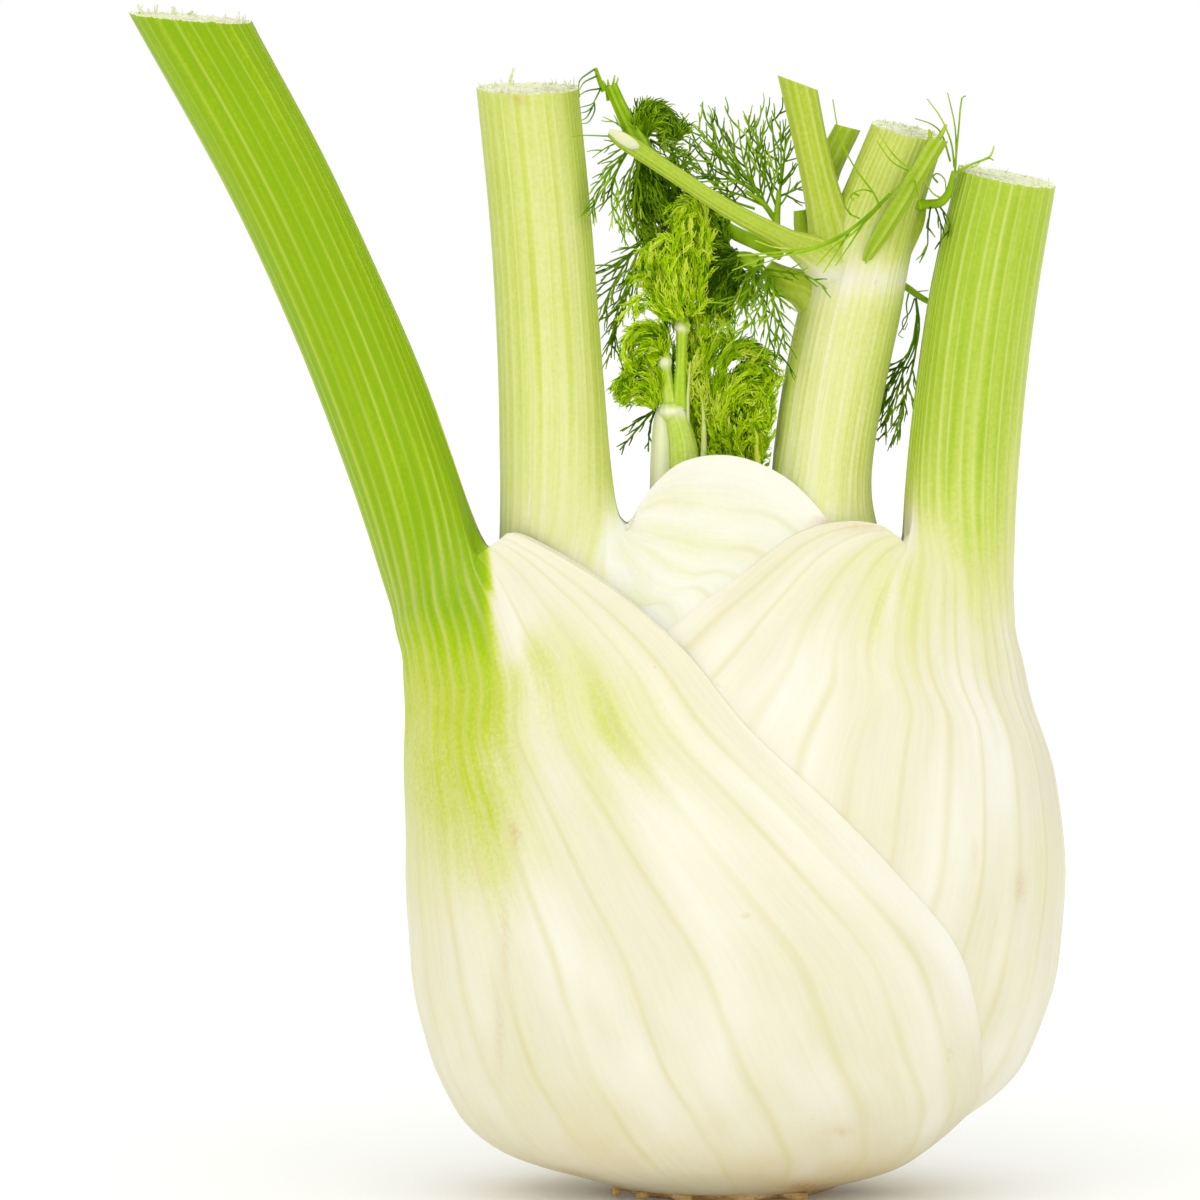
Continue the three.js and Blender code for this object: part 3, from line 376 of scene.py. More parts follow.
def waxy_leaf(name, flesh_stops, sheath_vein, stalk_vein):
    """Fennel leaf base: firm, wet flesh under a thin waxy skin. The eye gets a soft satin sheen, light that
    sinks in a little, fine fibres along the leaf, and veins, straw coloured low down and pale above."""
    material, tree, place = new_material(name)
    value = {key: add_node(tree, "Attribute", {"attribute_name": key}).outputs["Fac"]
             for key in ("green", "vein", "stalk", "blush", "tan_foot")}
    fibre_uv = add_node(tree, "UVMap", {"uv_map": "fibre"})
    # Drawn along the leaf: fibre bundles about 0.5 mm and 2 mm apart on a sheath, some 20 mm long, and longer
    # patches of whiter flesh between the veins.
    for key, stretch, detail, roughness in (("fine", (120, 0.7, 1), 3.0, 0.6),
                                            ("broad", (34, 0.3, 1), 2.0, 0.55),
                                            ("white", (7, 0.22, 1), 2.0, 0.55)):
        stretched = add_node(tree, "Mapping", {"Scale": stretch}, {"Vector": fibre_uv})
        value[key] = add_node(tree, "TexNoise",
                              {"Scale": 1.0, "Detail": detail, "Roughness": roughness}, {"Vector": stretched})
    # Uneven ripeness in patches of about 16 mm, dried spots of 5 mm, and the skin's cells, drawn at 0.7 mm,
    # coarser than real.
    for key, size, detail in (("patches", 16, 2.0), ("dried", 5, 3.0), ("cells", 0.7, 2.0)):
        value[key] = add_node(tree, "TexNoise", {"Scale": 1 / (size * MM), "Detail": detail,
                                                 "Roughness": 0.55}, {"Vector": place})
    value["spots"] = add_node(tree, "ValToRGB", {"stops": [(0.73, 0.0), (0.8, 0.3)]},
                              {"Fac": value["dried"]})
    # Each sum is its name, its operation, whether it is clamped, and its terms: values by name, and numbers.
    for key, operation, clamped, *terms in (
        # Ripeness: the leaf's own green with streaks, patches and cells, which count most where it is green.
        ("streak", "MULTIPLY_ADD", False, "broad", 0.7, -0.35),
        ("streak share", "MULTIPLY_ADD", False, "stalk", 0.45, 0.55),
        ("streak", "MULTIPLY", False, "streak", "streak share"),
        ("greenish", "MULTIPLY_ADD", True, "green", 2.2, 0.12),
        ("streak", "MULTIPLY", False, "streak", "greenish"),
        ("ripe", "ADD", False, "green", "streak"),
        ("patch", "MULTIPLY_ADD", False, "patches", 0.34, -0.17),
        ("patch share", "MULTIPLY_ADD", False, "greenish", 0.8, 0.2),
        ("patch", "MULTIPLY", False, "patch", "patch share"),
        ("ripe", "ADD", False, "ripe", "patch"),
        ("cell", "MULTIPLY_ADD", False, "cells", 0.34, -0.17),
        ("cell", "MULTIPLY", False, "cell", "greenish"),
        ("ripe", "ADD", True, "ripe", "cell"),
        # A little light and shade from fibre to fibre.
        ("fibre light", "MULTIPLY_ADD", False, "fine", 0.13, 0.935),
        # Whiter flesh where it isn't ripe, and a darker tan towards the foot that comes in patches.
        ("white", "MULTIPLY_ADD", True, "white", 3.4, -1.5),
        ("unripe", "MULTIPLY_ADD", True, "ripe", -5, 1),
        ("white", "MULTIPLY", False, "white", "unripe"),
        ("tan_foot patch", "MULTIPLY_ADD", True, "patches", 1.2, -0.1),
        ("tan_foot", "MULTIPLY", False, "tan_foot", "tan_foot patch"),
        # Dried spots, and bruised edges broken up by the cells.
        ("bruised cell", "MULTIPLY_ADD", False, "cells", 1.6, 0.1),
        ("bruise", "MULTIPLY", False, "blush", "bruised cell"),
        ("bruise", "MAXIMUM", True, "spots", "bruise"),
    ):
        numbers = {i: term for i, term in enumerate(terms) if not isinstance(term, str)}
        named = {i: value[term] for i, term in enumerate(terms) if isinstance(term, str)}
        value[key] = add_node(tree, "Math", {"operation": operation, "use_clamp": clamped, **numbers},
                              named)
    flesh = add_node(tree, "ValToRGB", {"stops": flesh_stops}, {"Fac": value["ripe"]})
    flesh = add_node(tree, "VectorMath", {"operation": "SCALE"},
                     {0: flesh, "Scale": value["fibre light"]})
    vein_share = add_node(tree, "MapRange", {"To Min": 0.45, "To Max": 0.66}, {"Value": value["stalk"]})
    value["vein"] = add_node(tree, "Math", {"operation": "MULTIPLY"}, {0: value["vein"], 1: vein_share})
    vein_colour = add_node(tree, "Mix", {"data_type": "RGBA", 6: sheath_vein, 7: stalk_vein},
                           {"Factor": value["stalk"]})
    # White flesh, the tan foot, the veins and tan bruises are laid over the flesh in turn.
    for key, colour, source in (("white", {7: "#F7F4E4"}, {}), ("tan_foot", {7: "#DCC795"}, {}),
                                ("vein", {}, {7: vein_colour.outputs[2]}), ("bruise", {7: "#CBA062"}, {})):
        flesh = add_node(tree, "Mix", {"data_type": "RGBA", **colour},
                         {"Factor": value[key], 6: flesh, **source}).outputs[2]
    fibre_bump = add_node(tree, "Bump", {"Strength": 0.5, "Distance": 0.12 * MM},
                          {"Height": value["fine"]})
    skin_bump = add_node(tree, "Bump", {"Strength": 0.3, "Distance": 0.06 * MM},
                         {"Height": value["cells"], "Normal": fibre_bump})
    finish_material(tree, {"Roughness": 0.4, "IOR": 1.4, "Specular IOR Level": 0.22,
                           "Subsurface Weight": 0.2, "Subsurface Radius": (1.0, 0.8, 0.3),
                           "Subsurface Scale": 2.0 * MM},
                    {"Base Color": flesh, "Normal": skin_bump})
    return material


def cut_pith():
    """Freshly cut stalk: spongy white pith with strings near the rim, wet and slightly ragged."""
    material, tree, place = new_material("cut_stalk_pith")
    # Strings about 1 mm apart that end at the cut, seen as darker dots.
    strings = add_node(tree, "TexVoronoi", {"Scale": 1 / (1.1 * MM)}, {"Vector": place})
    colour = add_node(tree, "ValToRGB",
                      {"stops": [(0.0, "#A9B765"), (0.3, "#DDE2AE"), (1.0, "#F1F2D9")]}, {"Fac": strings})
    sponge = add_node(tree, "TexNoise", {"Scale": 1 / (0.7 * MM), "Detail": 4.0}, {"Vector": place})
    bump = add_node(tree, "Bump", {"Strength": 0.8, "Distance": 0.3 * MM}, {"Height": sponge})
    finish_material(tree, {"Roughness": 0.5, "IOR": 1.4, "Subsurface Weight": 0.3,
                           "Subsurface Radius": (1.0, 0.9, 0.5), "Subsurface Scale": 2 * MM},
                    {"Base Color": colour, "Normal": bump})
    return material


def thread_mesh(threads, sides=3, tip=0.5):
    """Threads, each (path, radius, tone), as closed tubes: points, faces and the tone at each point. They
    thin towards their tips, where the young growth is paler."""
    points, faces, tones = [], [], []
    start = 0
    for length in sorted({len(path) for path, _, _ in threads}):
        chosen = [t for t in threads if len(t[0]) == length]
        path = np.array([t[0] for t in chosen])
        radius = np.array([t[1] for t in chosen])[:, None] * np.linspace(1, tip, length)
        along = np.gradient(path, axis=1)
        along /= np.linalg.norm(along, axis=2)[..., None]
        steep = abs(along[..., 1]).max(1) > 0.85
        reference = np.where(steep[:, None, None], [1.0, 0, 0], [0, 1.0, 0])
        across = np.cross(along, reference)
        across /= np.linalg.norm(across, axis=2)[..., None] + 1e-9
        deep = np.cross(along, across)
        turn = 2 * np.pi * (np.arange(sides) + 0.5) / sides
        ring = (across[:, :, None] * np.cos(turn)[:, None] + deep[:, :, None] * np.sin(turn)[:, None])
        points.append((path[:, :, None] + ring * radius[:, :, None, None]).reshape(-1, 3))
        first = start + np.arange(len(chosen) * length * sides).reshape(len(chosen), length, sides)
        after = np.roll(first, -1, axis=2)
        quads = np.stack([first[:, :-1], after[:, :-1], after[:, 1:], first[:, 1:]], -1)
        faces += quads.reshape(-1, 4).tolist()
        faces += first[:, 0, ::-1].tolist() + first[:, -1].tolist()
        tone = np.array([t[2] for t in chosen])[:, None, None]
        rise = np.linspace(-0.12, 0.15, length)[None, :, None]
        tones.append((tone + rise + np.zeros((1, 1, sides))).ravel())
        start += len(chosen) * length * sides
    return np.concatenate(points), faces, np.concatenate(tones)


def cut_fibres(rim, number, seed, tallest=1.3):
    """Strings and rags of skin that the knife left standing round a cut."""
    random = np.random.default_rng(seed)
    middle = rim.mean(0)
    fibres = []
    for _ in range(number):
        foot = middle + (rim[random.integers(len(rim))] - middle) * random.uniform(0.72, 0.985)
        rise = np.array([random.normal(0, 0.25), random.normal(0, 0.2), 1]) * tallest * random.random() ** 2.2
        lean = random.normal(0, 0.18, 3)
        path = [foot - [0, 0, 0.8], foot, foot + rise * 0.5 + lean * 0.4, foot + rise + lean]
        fibres.append((np.array(path), random.uniform(0.1, 0.2), 0.5))
    return fibres


def settle(piece, node, materials, material_of_face=None):
    """Gives a piece its materials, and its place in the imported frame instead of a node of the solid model."""
    for material in materials:
        piece.data.materials.append(material)
    if material_of_face is not None:
        piece.data.polygons.foreach_set("material_index", np.asarray(material_of_face, np.int32))
    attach(piece, "root")
    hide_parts(node)


def grow_leaf(name, leaf, node, skin, cut):
    """One leaf with its cut: the skin's material below, the cut's on its face and the fibres round it."""
    points, faces, skin_faces, looks, across, rim = leaf_shell(leaf)
    fibre_points, fibre_faces, _ = thread_mesh(cut_fibres(rim, *leaf["fibres"]) + leaf.get("rags", []))
    faces += plain(fibre_faces, len(points))
    looks = {key: np.concatenate([values, np.zeros(len(fibre_points))]) for key, values in looks.items()}
    across = np.concatenate([across, np.zeros((len(fibre_points), 2))])
    piece = made_mesh(name, np.concatenate([points, fibre_points]), faces, looks, across)
    settle(piece, node, [skin, cut], np.arange(len(faces)) >= skin_faces)


def both_sides(front, jitter_seed, fine=(), fine_from=0):
    """Veins front and back, those behind less true to place: (place, width, row that they fade below)."""
    random = np.random.default_rng(jitter_seed)
    veins = [(0.01, 0.9, 0)]
    for places, row in ((front, -3), (fine, fine_from)):
        for side, shift in ((-1, 0.004), (1, 0.012)):
            veins += [(side * place + random.uniform(-shift, shift), random.uniform(0.6, 1.3), row)
                      for place in places]
    return veins


def along_leaf(t, stops):
    """A value along the leaf from (t, value) stops."""
    return np.interp(t, *zip(*stops))


def across_leaf(u, stops):
    """A value across the leaf from (distance from the midrib, value) stops, the same front and back."""
    return np.interp(abs(u), *zip(*stops))


WASH_X, WASH_Z = -35, 93.5      # where the green wash sets off, down to the right from the shoulder
WASH_STRENGTH = 0.33


def left_outer_green(u, t, x, z, halo):
    """Bright green down the stalk and on down the left of the sheath. A white wing lies beside it, with a
    green wash that runs out along the veins below the shoulder."""
    down = np.interp(z, [46, 57, 66, 77, 86, 93, 100, 107, 115],
                     [0.04, 0.2, 0.33, 0.42, 0.54, 0.68, 0.88, 0.95, 1])
    border = np.interp(z, [60, 71, 77, 85.5, 92, 98.5, 104, 108, 112, 118],
                       [-32.5, -34, -35, -36.6, -37.6, -38.8, -39.2, -40, -40.4, -30])
    softness = np.interp(z, [60, 77, 92, 100], [13, 9, 5, 2])
    # Along the pale veins the white runs further up into the green.
    border = border - 1.6 * halo * ease((108 - z) / 6)
    in_front = ease((border - x) / softness + 0.5)
    behind = ease((0.49 - abs(u)) / 0.05 + 0.5)
    inside = np.maximum(np.where(u < 0, in_front, behind), ease((t - 15.4) / 0.6))
    green = down * inside
    from_x, from_z = x - WASH_X, z - WASH_Z
    along, aside = 0.8 * from_x - 0.6 * from_z, 0.6 * from_x + 0.8 * from_z
    wash = np.exp(-(aside / np.where(aside > 0, 9, 13)) ** 2) * ease((along + 3) / 6)
    wash = wash * (1 - ease((along - 16) / 26)) * (u < 0)
    return np.clip(green + WASH_STRENGTH * wash * (0.42 + 0.58 * halo) * (1 - green), 0, 1)


def blush_spots(spots):
    """Small tan marks on the front, each (x, z, half width, half height, strength)."""
    def at(u, t, x, z):
        total = np.zeros_like(u)
        for cx, cz, wx, wz, strength in spots:
            spot = np.exp(-((x - cx) / wx) ** 2 - ((z - cz) / wz) ** 2) * (u < 0)
            total = np.maximum(total, strength * spot)
        return total
    return at


# A leaf in numbers. side is -1 for the left rank and 1 for the right. layer gives, at each height, the left,
# right and half depth of the body that the sheath wraps. A sheath's row is the angle that it wraps to each
# side, the heights of its margin and midrib, and how far the margin thins; a stalk's is x, y, z and radius.
# cut and cut_tilt slope the cut to the side and to the back. back_drop, clasp and crest shape the margin
# behind, the stalk's deep foot and the climbing margin. spread, even and flap are what spread_out, evened and
# flap_at read. stalk_vein and stalk_relief are the width and height of the stalk's ribs, and edge is how thin
# the margin is laid down. fibres are the number, seed and height of the strings at the cut, and rags are
# longer ones.
left_outer = {
    "side": -1,
    "layer": [
        [1.6, -20, 19, 15], [3.4, -26, 26, 19], [5, -32, 30.6, 22.5], [7.6, -38.6, 35.2, 27.2],
        [11.8, -44.2, 41, 31.4], [17.6, -47.7, 48.8, 34.7], [23.5, -50.4, 53, 37.1],
        [35, -53.1, 57.6, 40], [47, -54.1, 59.2, 41], [59, -54.3, 59.2, 40.5], [71, -54.4, 57.6, 38.5],
        [82, -54.2, 54.2, 35], [90, -54.7, 52, 30.9], [98, -56.3, 50.3, 25.4],
        [106, -58.6, 50, 19], [113, -61, 50, 14.2],
    ],
    "sheath": [
        [172, 1.6, 1.6, 0], [171, 5.2, 5.2, 0], [168, 9.8, 9.8, 0.2], [155, 16.5, 16.5, 0.3],
        [144, 25, 25, 0.4], [137, 34, 34, 0.5], [130, 45, 44, 0.6], [118, 57, 55, 0.7],
        [106, 69, 66, 0.8], [93, 82, 77, 0.9], [84, 94, 85, 1.4], [74, 102.5, 90, 2],
        [62, 109.4, 94, 2], [54.5, 112.3, 97, 1.4], [51, 110.4, 101, 0.4],
    ],
    "stalk": [
        [-47.5, 0, 99.5, 9.3], [-49.6, 0, 107, 9], [-52.6, -0.5, 117, 8.8], [-59.1, -1.3, 135.4, 8.7],
        [-67, -2.1, 153.8, 8.6], [-76.2, -3, 173.4, 8.6], [-89.6, -4, 197.9, 8.7],
    ],
    "cut": -0.08,
    "back_drop": 2,
    "clasp": 0.4,
    "crest": 0,
    "spread": [[0, 0.5], [9, 0.5], [10, 0.565], [11, 0.64], [12, 0.76], [13, 0.82], [14, 0.88], [20, 0.9]],
    "veins": both_sides([0.145, 0.25, 0.345, 0.44, 0.54, 0.64, 0.76, 0.855, 0.92], 1,
                        [0.05, 0.1, 0.195, 0.3, 0.395, 0.485], 7),
    "stalk_vein": 0.0042,
    "stalk_relief": 0.2,
    "flap": (0.54, 1.6, 0.9),
    "edge": 1.8,
    "cut_tilt": 0.06,
    "green": left_outer_green,
    "blush": blush_spots([(-35.4, 64, 0.7, 1.4, 0.6), (-37, 47, 0.5, 6, 0.3), (-38, 30, 0.6, 7, 0.25),
                          (18.6, 14.6, 2, 1, 0.35), (-24, 5, 4, 1.4, 0.35), (13, 3.2, 4.5, 1.5, 0.9)]),
    "even": (1.3, 10.5, 15.5, 0.5, 0.66),
    "fibres": (70, 5),
    "rags": [
        ([[-96.6, -3, 195], [-97.2, -3, 197.6], [-97.9, -3, 199], [-98.5, -3, 200]], 0.6, 0),
        ([[-96, -1, 195], [-96.4, -1, 197.4], [-96.6, -1, 198.6], [-96.8, -1, 199.2]], 0.5, 0),
        ([[-92.4, 3.6, 195], [-92.6, 3.6, 197.6], [-92.8, 3.6, 198.8], [-93, 3.6, 199.7]], 0.9, 0),
        ([[-91, 4, 195], [-90.8, 4, 197.4], [-90.2, 4, 198.4], [-89.6, 4, 199]], 0.7, 0),
    ],
}
left_outer_skin = waxy_leaf(
    "waxy_green_leaf",
    [(0.0, "#EBE5CA"), (0.2, "#E0DFA0"), (0.45, "#C6D24A"), (0.7, "#A9C60A"), (1.0, "#8CB200")],
    "#D6CF8E", "#C6D256")
pith = cut_pith()
grow_leaf("left_outer_leaf", left_outer, "leaf_left_outer", left_outer_skin, pith)


# ----------------------------------------
# Right outer leaf. The second leaf, from the other rank: its sheath lies under the first one's margin and
# shows as the right flank of the bulb; its stalk stands at the right, mid green with pale ribs.


def right_outer_green(u, t, x, z, halo):
    """Green down the stalk, deepest at its left, fading into cream at its foot."""
    at_left = np.interp(z, [98, 106, 112, 118, 128, 160], [0, 0.06, 0.2, 0.55, 0.8, 0.88])
    in_front = np.interp(z, [86, 95, 105, 113, 125, 160], [0.02, 0.1, 0.3, 0.52, 0.74, 0.8])
    at_right = np.interp(z, [90, 100, 110, 120, 135, 160], [0.02, 0.1, 0.2, 0.36, 0.62, 0.76])
    green = at_right + (in_front - at_right) * ease(abs(u) / 0.24)
    green = green + (at_left - green) * ease((abs(u) - 0.28) / 0.16)
    wing = ease((abs(u) - 0.5) / 0.05) * (1 - ease((t - 13) / 1.2))
    wash = 0.26 * np.exp(-((abs(u) - 0.6) / 0.22) ** 2 - ((t - 10.4) / 1.8) ** 2) * (0.15 + 0.85 * halo)
    green = green * (1 - 0.95 * wing)
    return np.clip(green + wash * (1 - green), 0, 1)


right_outer = {
    "side": 1,
    "layer": [
        [4.4, -20, 22, 16.5], [7.6, -31, 31.6, 23.6], [11.8, -38, 38.4, 28.4],
        [17.6, -42.5, 46.6, 32], [23.5, -45, 51.2, 34.4], [35, -47.5, 55.4, 37.3],
        [47, -48.5, 57, 38.3], [59, -48.5, 57, 37.8], [71, -48, 55.4, 35.8],
        [82, -47, 51.9, 32.3], [90, -45.5, 49.8, 28.2], [98, -43, 48.3, 22.8],
        [106, -40, 48, 17], [113, -37, 48.2, 13],
    ],
    "sheath": [
        [170, 4.4, 4.4, 0], [168, 9.8, 9.8, 0.2], [160, 16.5, 16.5, 0.3], [150, 25, 25, 0.4],
        [143, 34, 33, 0.5], [136, 46, 42, 0.6], [124, 66, 53, 0.7], [116, 87, 65, 0.9],
        [104, 98.6, 76, 1.1], [94, 104.6, 84, 1.2], [82, 112, 91, 1.3], [70, 114.2, 96, 1.4],
        [60, 113.4, 99, 1], [57, 111.2, 103, 0.4],
    ],
    "stalk": [
        [39.2, 0, 101, 9.5], [38.9, 0, 109, 9.4], [38.9, 0, 117.5, 9.4], [40.4, 0, 134, 9.2],
        [43, 0, 152.5, 9], [46.7, 0, 171.3, 8.4],
    ],
    "cut": -0.19,
    "back_drop": 2,
    "clasp": 0.4,
    "crest": 0,
    "spread": [[0, 0.5], [8, 0.5], [9, 0.58], [10, 0.66], [11, 0.77], [12, 0.86], [13, 0.89], [18, 0.9]],
    "veins": both_sides([0.09, 0.19, 0.28, 0.37, 0.45, 0.54, 0.62, 0.7, 0.79, 0.88, 0.95], 2,
                        [0.04, 0.14, 0.235, 0.325, 0.41, 0.49], 7),
    "stalk_vein": 0.0042,
    "stalk_relief": 0.2,
    "green": right_outer_green,
    "flap": (0.54, 1.8, 0.9),
    "edge": 1.7,
    "cut_tilt": 0.1,
    "blush": blush_spots([(48.4, 54, 1, 2.6, 0.35), (40.6, 60, 0.6, 1.8, 0.25), (21.6, 113.2, 4, 1, 0.2)]),
    "even": (1.3, 9.5, 14.5, 0.6, 0.8),
    "fibres": (60, 6, 0.9),
}
right_outer_skin = waxy_leaf(
    "waxy_mid_green_leaf",
    [(0.0, "#EBE5CA"), (0.2, "#E2E2A0"), (0.5, "#CAD868"), (0.8, "#B0C93E"), (1.0, "#A2C028")],
    "#D9D294", "#D9E28A")
grow_leaf("right_outer_leaf", right_outer, "leaf_right_outer", right_outer_skin, pith)


# ----------------------------------------
# Left inner leaf. The third leaf: its sheath is the smooth white dome between the stalks, open behind its
# margin, and its pale, even stalk stands second from the left. It is younger and kept from the light.


def left_inner_green(u, t, x, z, halo):
    """An even pale green, darker at the edges, that fades into the white dome."""
    rise = np.interp(z, [98, 105, 112, 120, 132, 150, 186], [0, 0.12, 0.36, 0.6, 0.84, 0.95, 1])
    band = across_leaf(u, [(0, 0.66), (0.05, 0.52), (0.15, 0.48), (0.33, 0.4), (0.42, 0.46), (0.49, 0.66),
                           (0.52, 0.7), (1, 0.8)])
    dome = ease((abs(u) - 0.46) / 0.12) * (1 - ease((t - 11) / 2))
    wash = 0.1 * np.exp(-((t - 8.5) / 2.5) ** 2) * halo
    return np.clip(rise * band * (1 - dome) + wash, 0, 1)


left_inner = {
    "side": -1,
    "layer": [
        [7, -20, 20, 15], [12, -32.5, 32, 23.5], [17.6, -39.5, 39, 28.5],
        [23.5, -42.5, 43.5, 31.3], [35, -45.3, 48.5, 34.4], [47, -46.3, 50, 35.4],
        [59, -46.4, 50, 34.9], [71, -45.8, 48.5, 32.9], [82, -44.6, 45.5, 29.4],
        [90, -42.9, 42.5, 25.3], [98, -40.8, 38.5, 20.2], [106, -38.8, 34, 15.1],
        [113, -38, 30.5, 11.9], [119, -37.8, 28.5, 10.8], [126, -37.5, 27, 9.9],
    ],
    "sheath": [
        [172, 7, 7, 0], [166, 20, 17, 0.3], [150, 45, 34, 0.6], [140, 75, 58, 0.6],
        [136, 98, 76, 0.6], [132, 107.4, 84, 0.6], [128, 114.4, 90, 0.4], [118, 121, 95, 0.3],
        [102, 125, 98, 0.3], [86, 124.2, 101, 0.3], [75, 119.4, 104, 0.3],
        [70, 115.4, 106.5, 0.3], [66, 110.4, 109, 0],
    ],
    "stalk": [
        [-28, 0, 105, 9.9], [-28, 0, 112, 9.9], [-28.4, 0, 120, 9.3], [-29.6, 0, 141, 8.8],
        [-31.2, 0, 164, 8.6], [-33.4, 0, 186.1, 8.6],
    ],
    "cut": 0,
    "back_drop": 1.5,
    "clasp": 0.3,
    "crest": 4,
    "spread": [[0, 0.5], [7, 0.5], [8, 0.56], [9, 0.66], [10, 0.78], [11, 0.86], [12, 0.9], [17, 0.9]],
    "veins": both_sides([0.07, 0.15, 0.23, 0.31, 0.39, 0.47, 0.55, 0.62, 0.69, 0.76, 0.83, 0.92], 3,
                        [0.035, 0.11, 0.19, 0.27, 0.35, 0.43], 8),
    "stalk_vein": 0.004,
    "stalk_relief": 0.13,
    "green": left_inner_green,
    "flap": (0.46, 5.5, 0.8),
    "edge": 0.3,
    "cut_tilt": 0.1,
    "blush": blush_spots([(-34.8, 184.6, 1.6, 1.4, 0.4), (15.8, 113.8, 1.8, 0.6, 0.7)]),
    "even": (1.5, 7, 13, 0.8, 0.97),
    "fibres": (80, 7, 1.5),
    "rags": [
        ([[-36.4, -7, 183], [-36.6, -7.3, 186], [-36.3, -7.3, 188], [-35.7, -7.3, 189.6]], 0.6, 0),
        ([[-37.6, -6.4, 183], [-37.8, -6.6, 185.6], [-37.6, -6.6, 186.8], [-38, -6.4, 187.6]], 0.6, 0),
        ([[-40, -3, 183], [-40.4, -3, 185.2], [-40.8, -3, 186], [-41.4, -3, 186.6]], 0.55, 0),
    ],
}
left_inner_skin = waxy_leaf(
    "waxy_pale_leaf",
    [(0.0, "#EFEDDC"), (0.2, "#E2E4A4"), (0.5, "#D0DA70"), (0.8, "#BACB44"), (1.0, "#A6C028")],
    "#DAD69A", "#E3E79C")
grow_leaf("left_inner_leaf", left_inner, "leaf_left_inner", left_inner_skin, pith)


# ----------------------------------------
# Right inner leaf. The fourth leaf: a pale stalk with a white joint, and above the joint its cut main
# stalk, three cut or broken side branches, and a thin stem that runs up to the left.


def right_inner_green(u, t, x, z, halo):
    """Pale at the left and greener at the right, with a white joint and light green above it."""
    below = across_leaf(u, [(0, 0.72), (0.1, 0.62), (0.25, 0.48), (0.45, 0.3), (0.6, 0.2), (0.8, 0.3),
                            (0.9, 0.6), (1, 0.85)])
    above = across_leaf(u, [(0, 0.72), (0.2, 0.6), (0.5, 0.5), (0.8, 0.56), (1, 0.7)])
    joint = np.exp(-((z - 154.5) / 3.2) ** 2)
    level = below * along_leaf(t, [(5, 0.1), (7.5, 0.75), (9, 1)])
    level = level + (above - level) * ease((t - 11.2) / 1.2)
    return np.clip(level * (1 - 0.9 * joint), 0, 1)


right_inner = {
    "side": 1,
    "layer": [
        [9.8, -20, 20, 14], [13, -28, 28, 19], [17.6, -33, 34, 23.4], [23.5, -38, 40, 27.5],
        [35, -41, 45.5, 31], [47, -42, 47.3, 32.3], [59, -42, 47.3, 31.6], [71, -41, 45.8, 29.6],
        [82, -38, 42.6, 26], [90, -34, 39.2, 22], [98, -26, 34.4, 17.2], [106, -14, 29.6, 12.6],
        [113, -4, 26.5, 10],
    ],
    "sheath": [
        [174, 9.8, 9.8, 0], [172, 24, 22, 0], [170, 47, 46, 0], [168, 70, 70, 0],
        [164, 90, 88, 0], [160, 101, 97, 0], [158, 106, 103, 0],
    ],
    "stalk": [
        [15.6, 1, 101, 9.4], [15.4, 1.2, 108, 8.8], [15.4, 1.4, 116, 8.2], [15.9, 1.4, 124.5, 8.3],
        [18, 1.3, 137, 8.6], [20.9, 1.3, 150.5, 8.5], [22.6, 1.3, 157.4, 8], [25.5, 1.3, 166, 7],
        [30.2, 1.3, 179, 6.2],
    ],
    "cut": -0.21,
    "back_drop": 0,
    "clasp": 0.1,
    "crest": 0,
    "spread": [[0, 0.5], [14, 0.5]],
    "veins": both_sides([0.05, 0.14, 0.23, 0.32, 0.41, 0.5, 0.59, 0.68, 0.77, 0.86, 0.95], 4,
                        [0.09, 0.185, 0.275, 0.365, 0.455, 0.545, 0.635, 0.725, 0.815], 5),
    "stalk_vein": 0.005,
    "stalk_relief": 0.09,
    "green": right_inner_green,
    "flap": (2, 1, 0),
    "edge": 0,
    "cut_tilt": 0.14,
    "blush": blush_spots([]),
    "even": (1, 5, 8, 0.8, 1),
    "fibres": (50, 8, 0.8),
}
right_inner_skin = waxy_leaf(
    "waxy_inner_leaf",
    [(0.0, "#EBE8CE"), (0.15, "#E6E8A8"), (0.45, "#CFD96C"), (0.75, "#B4C63A"), (1.0, "#96B810")],
    "#DAD69A", "#E1E698")
grow_leaf("right_inner_leaf", right_inner, "leaf_right_inner", right_inner_skin, pith)


def stem_shell(rows, sides=24, step=0.08, flat=1.0, cut=None, ribs=0, rib_depth=0.12):
    """A closed stem through rows [x, y, z, radius]: points, faces, how many of these are skin, and for each
    point the share along the stem, the height of its ribs and the share of the turn round it."""
    table = numbered(rows)
    last = len(rows) - 1
    key = np.linspace(0, last, max(4, int(last / step)))
    x, y, z, radius = table_at(table, key)
    spine = np.stack([x, y, z], -1)
    along = np.gradient(spine, axis=0)
    along /= np.linalg.norm(along, axis=1)[:, None]
    across = np.cross([0, 1, 0], along)
    across /= np.linalg.norm(across, axis=1)[:, None]
    deep = np.cross(along, across)
    turn = np.linspace(0, 2 * np.pi, sides, endpoint=False)
    crest = 0.5 + 0.5 * np.cos(ribs * turn) if ribs else np.zeros(sides)
    reach = radius[:, None] - rib_depth * (1 - crest)[None] * min(1, ribs)
    out = (across[:, None] * (reach * np.cos(turn))[..., None]
           + deep[:, None] * (reach * flat * np.sin(turn))[..., None])
    if cut is not None:
        tilt = ease((key - last + 0.5) / 0.5)[:, None]
        slide = tilt * (cut * out[..., 0] - out[..., 2]) / (along[:, 2] - cut * along[:, 0])[:, None]
        out = out + along[:, None] * slide[..., None]
    points = spine[:, None] + out
    rings = np.arange(len(key) * sides).reshape(-1, sides)
    faces = ringed(rings) + plain([rings[0][::-1], rings[-1]])
    share = np.repeat(key / last, sides)
    around = np.tile(turn / (2 * np.pi), len(key))
    return points.reshape(-1, 3), faces, len(faces) - 1, share, np.tile(crest, len(key)), around


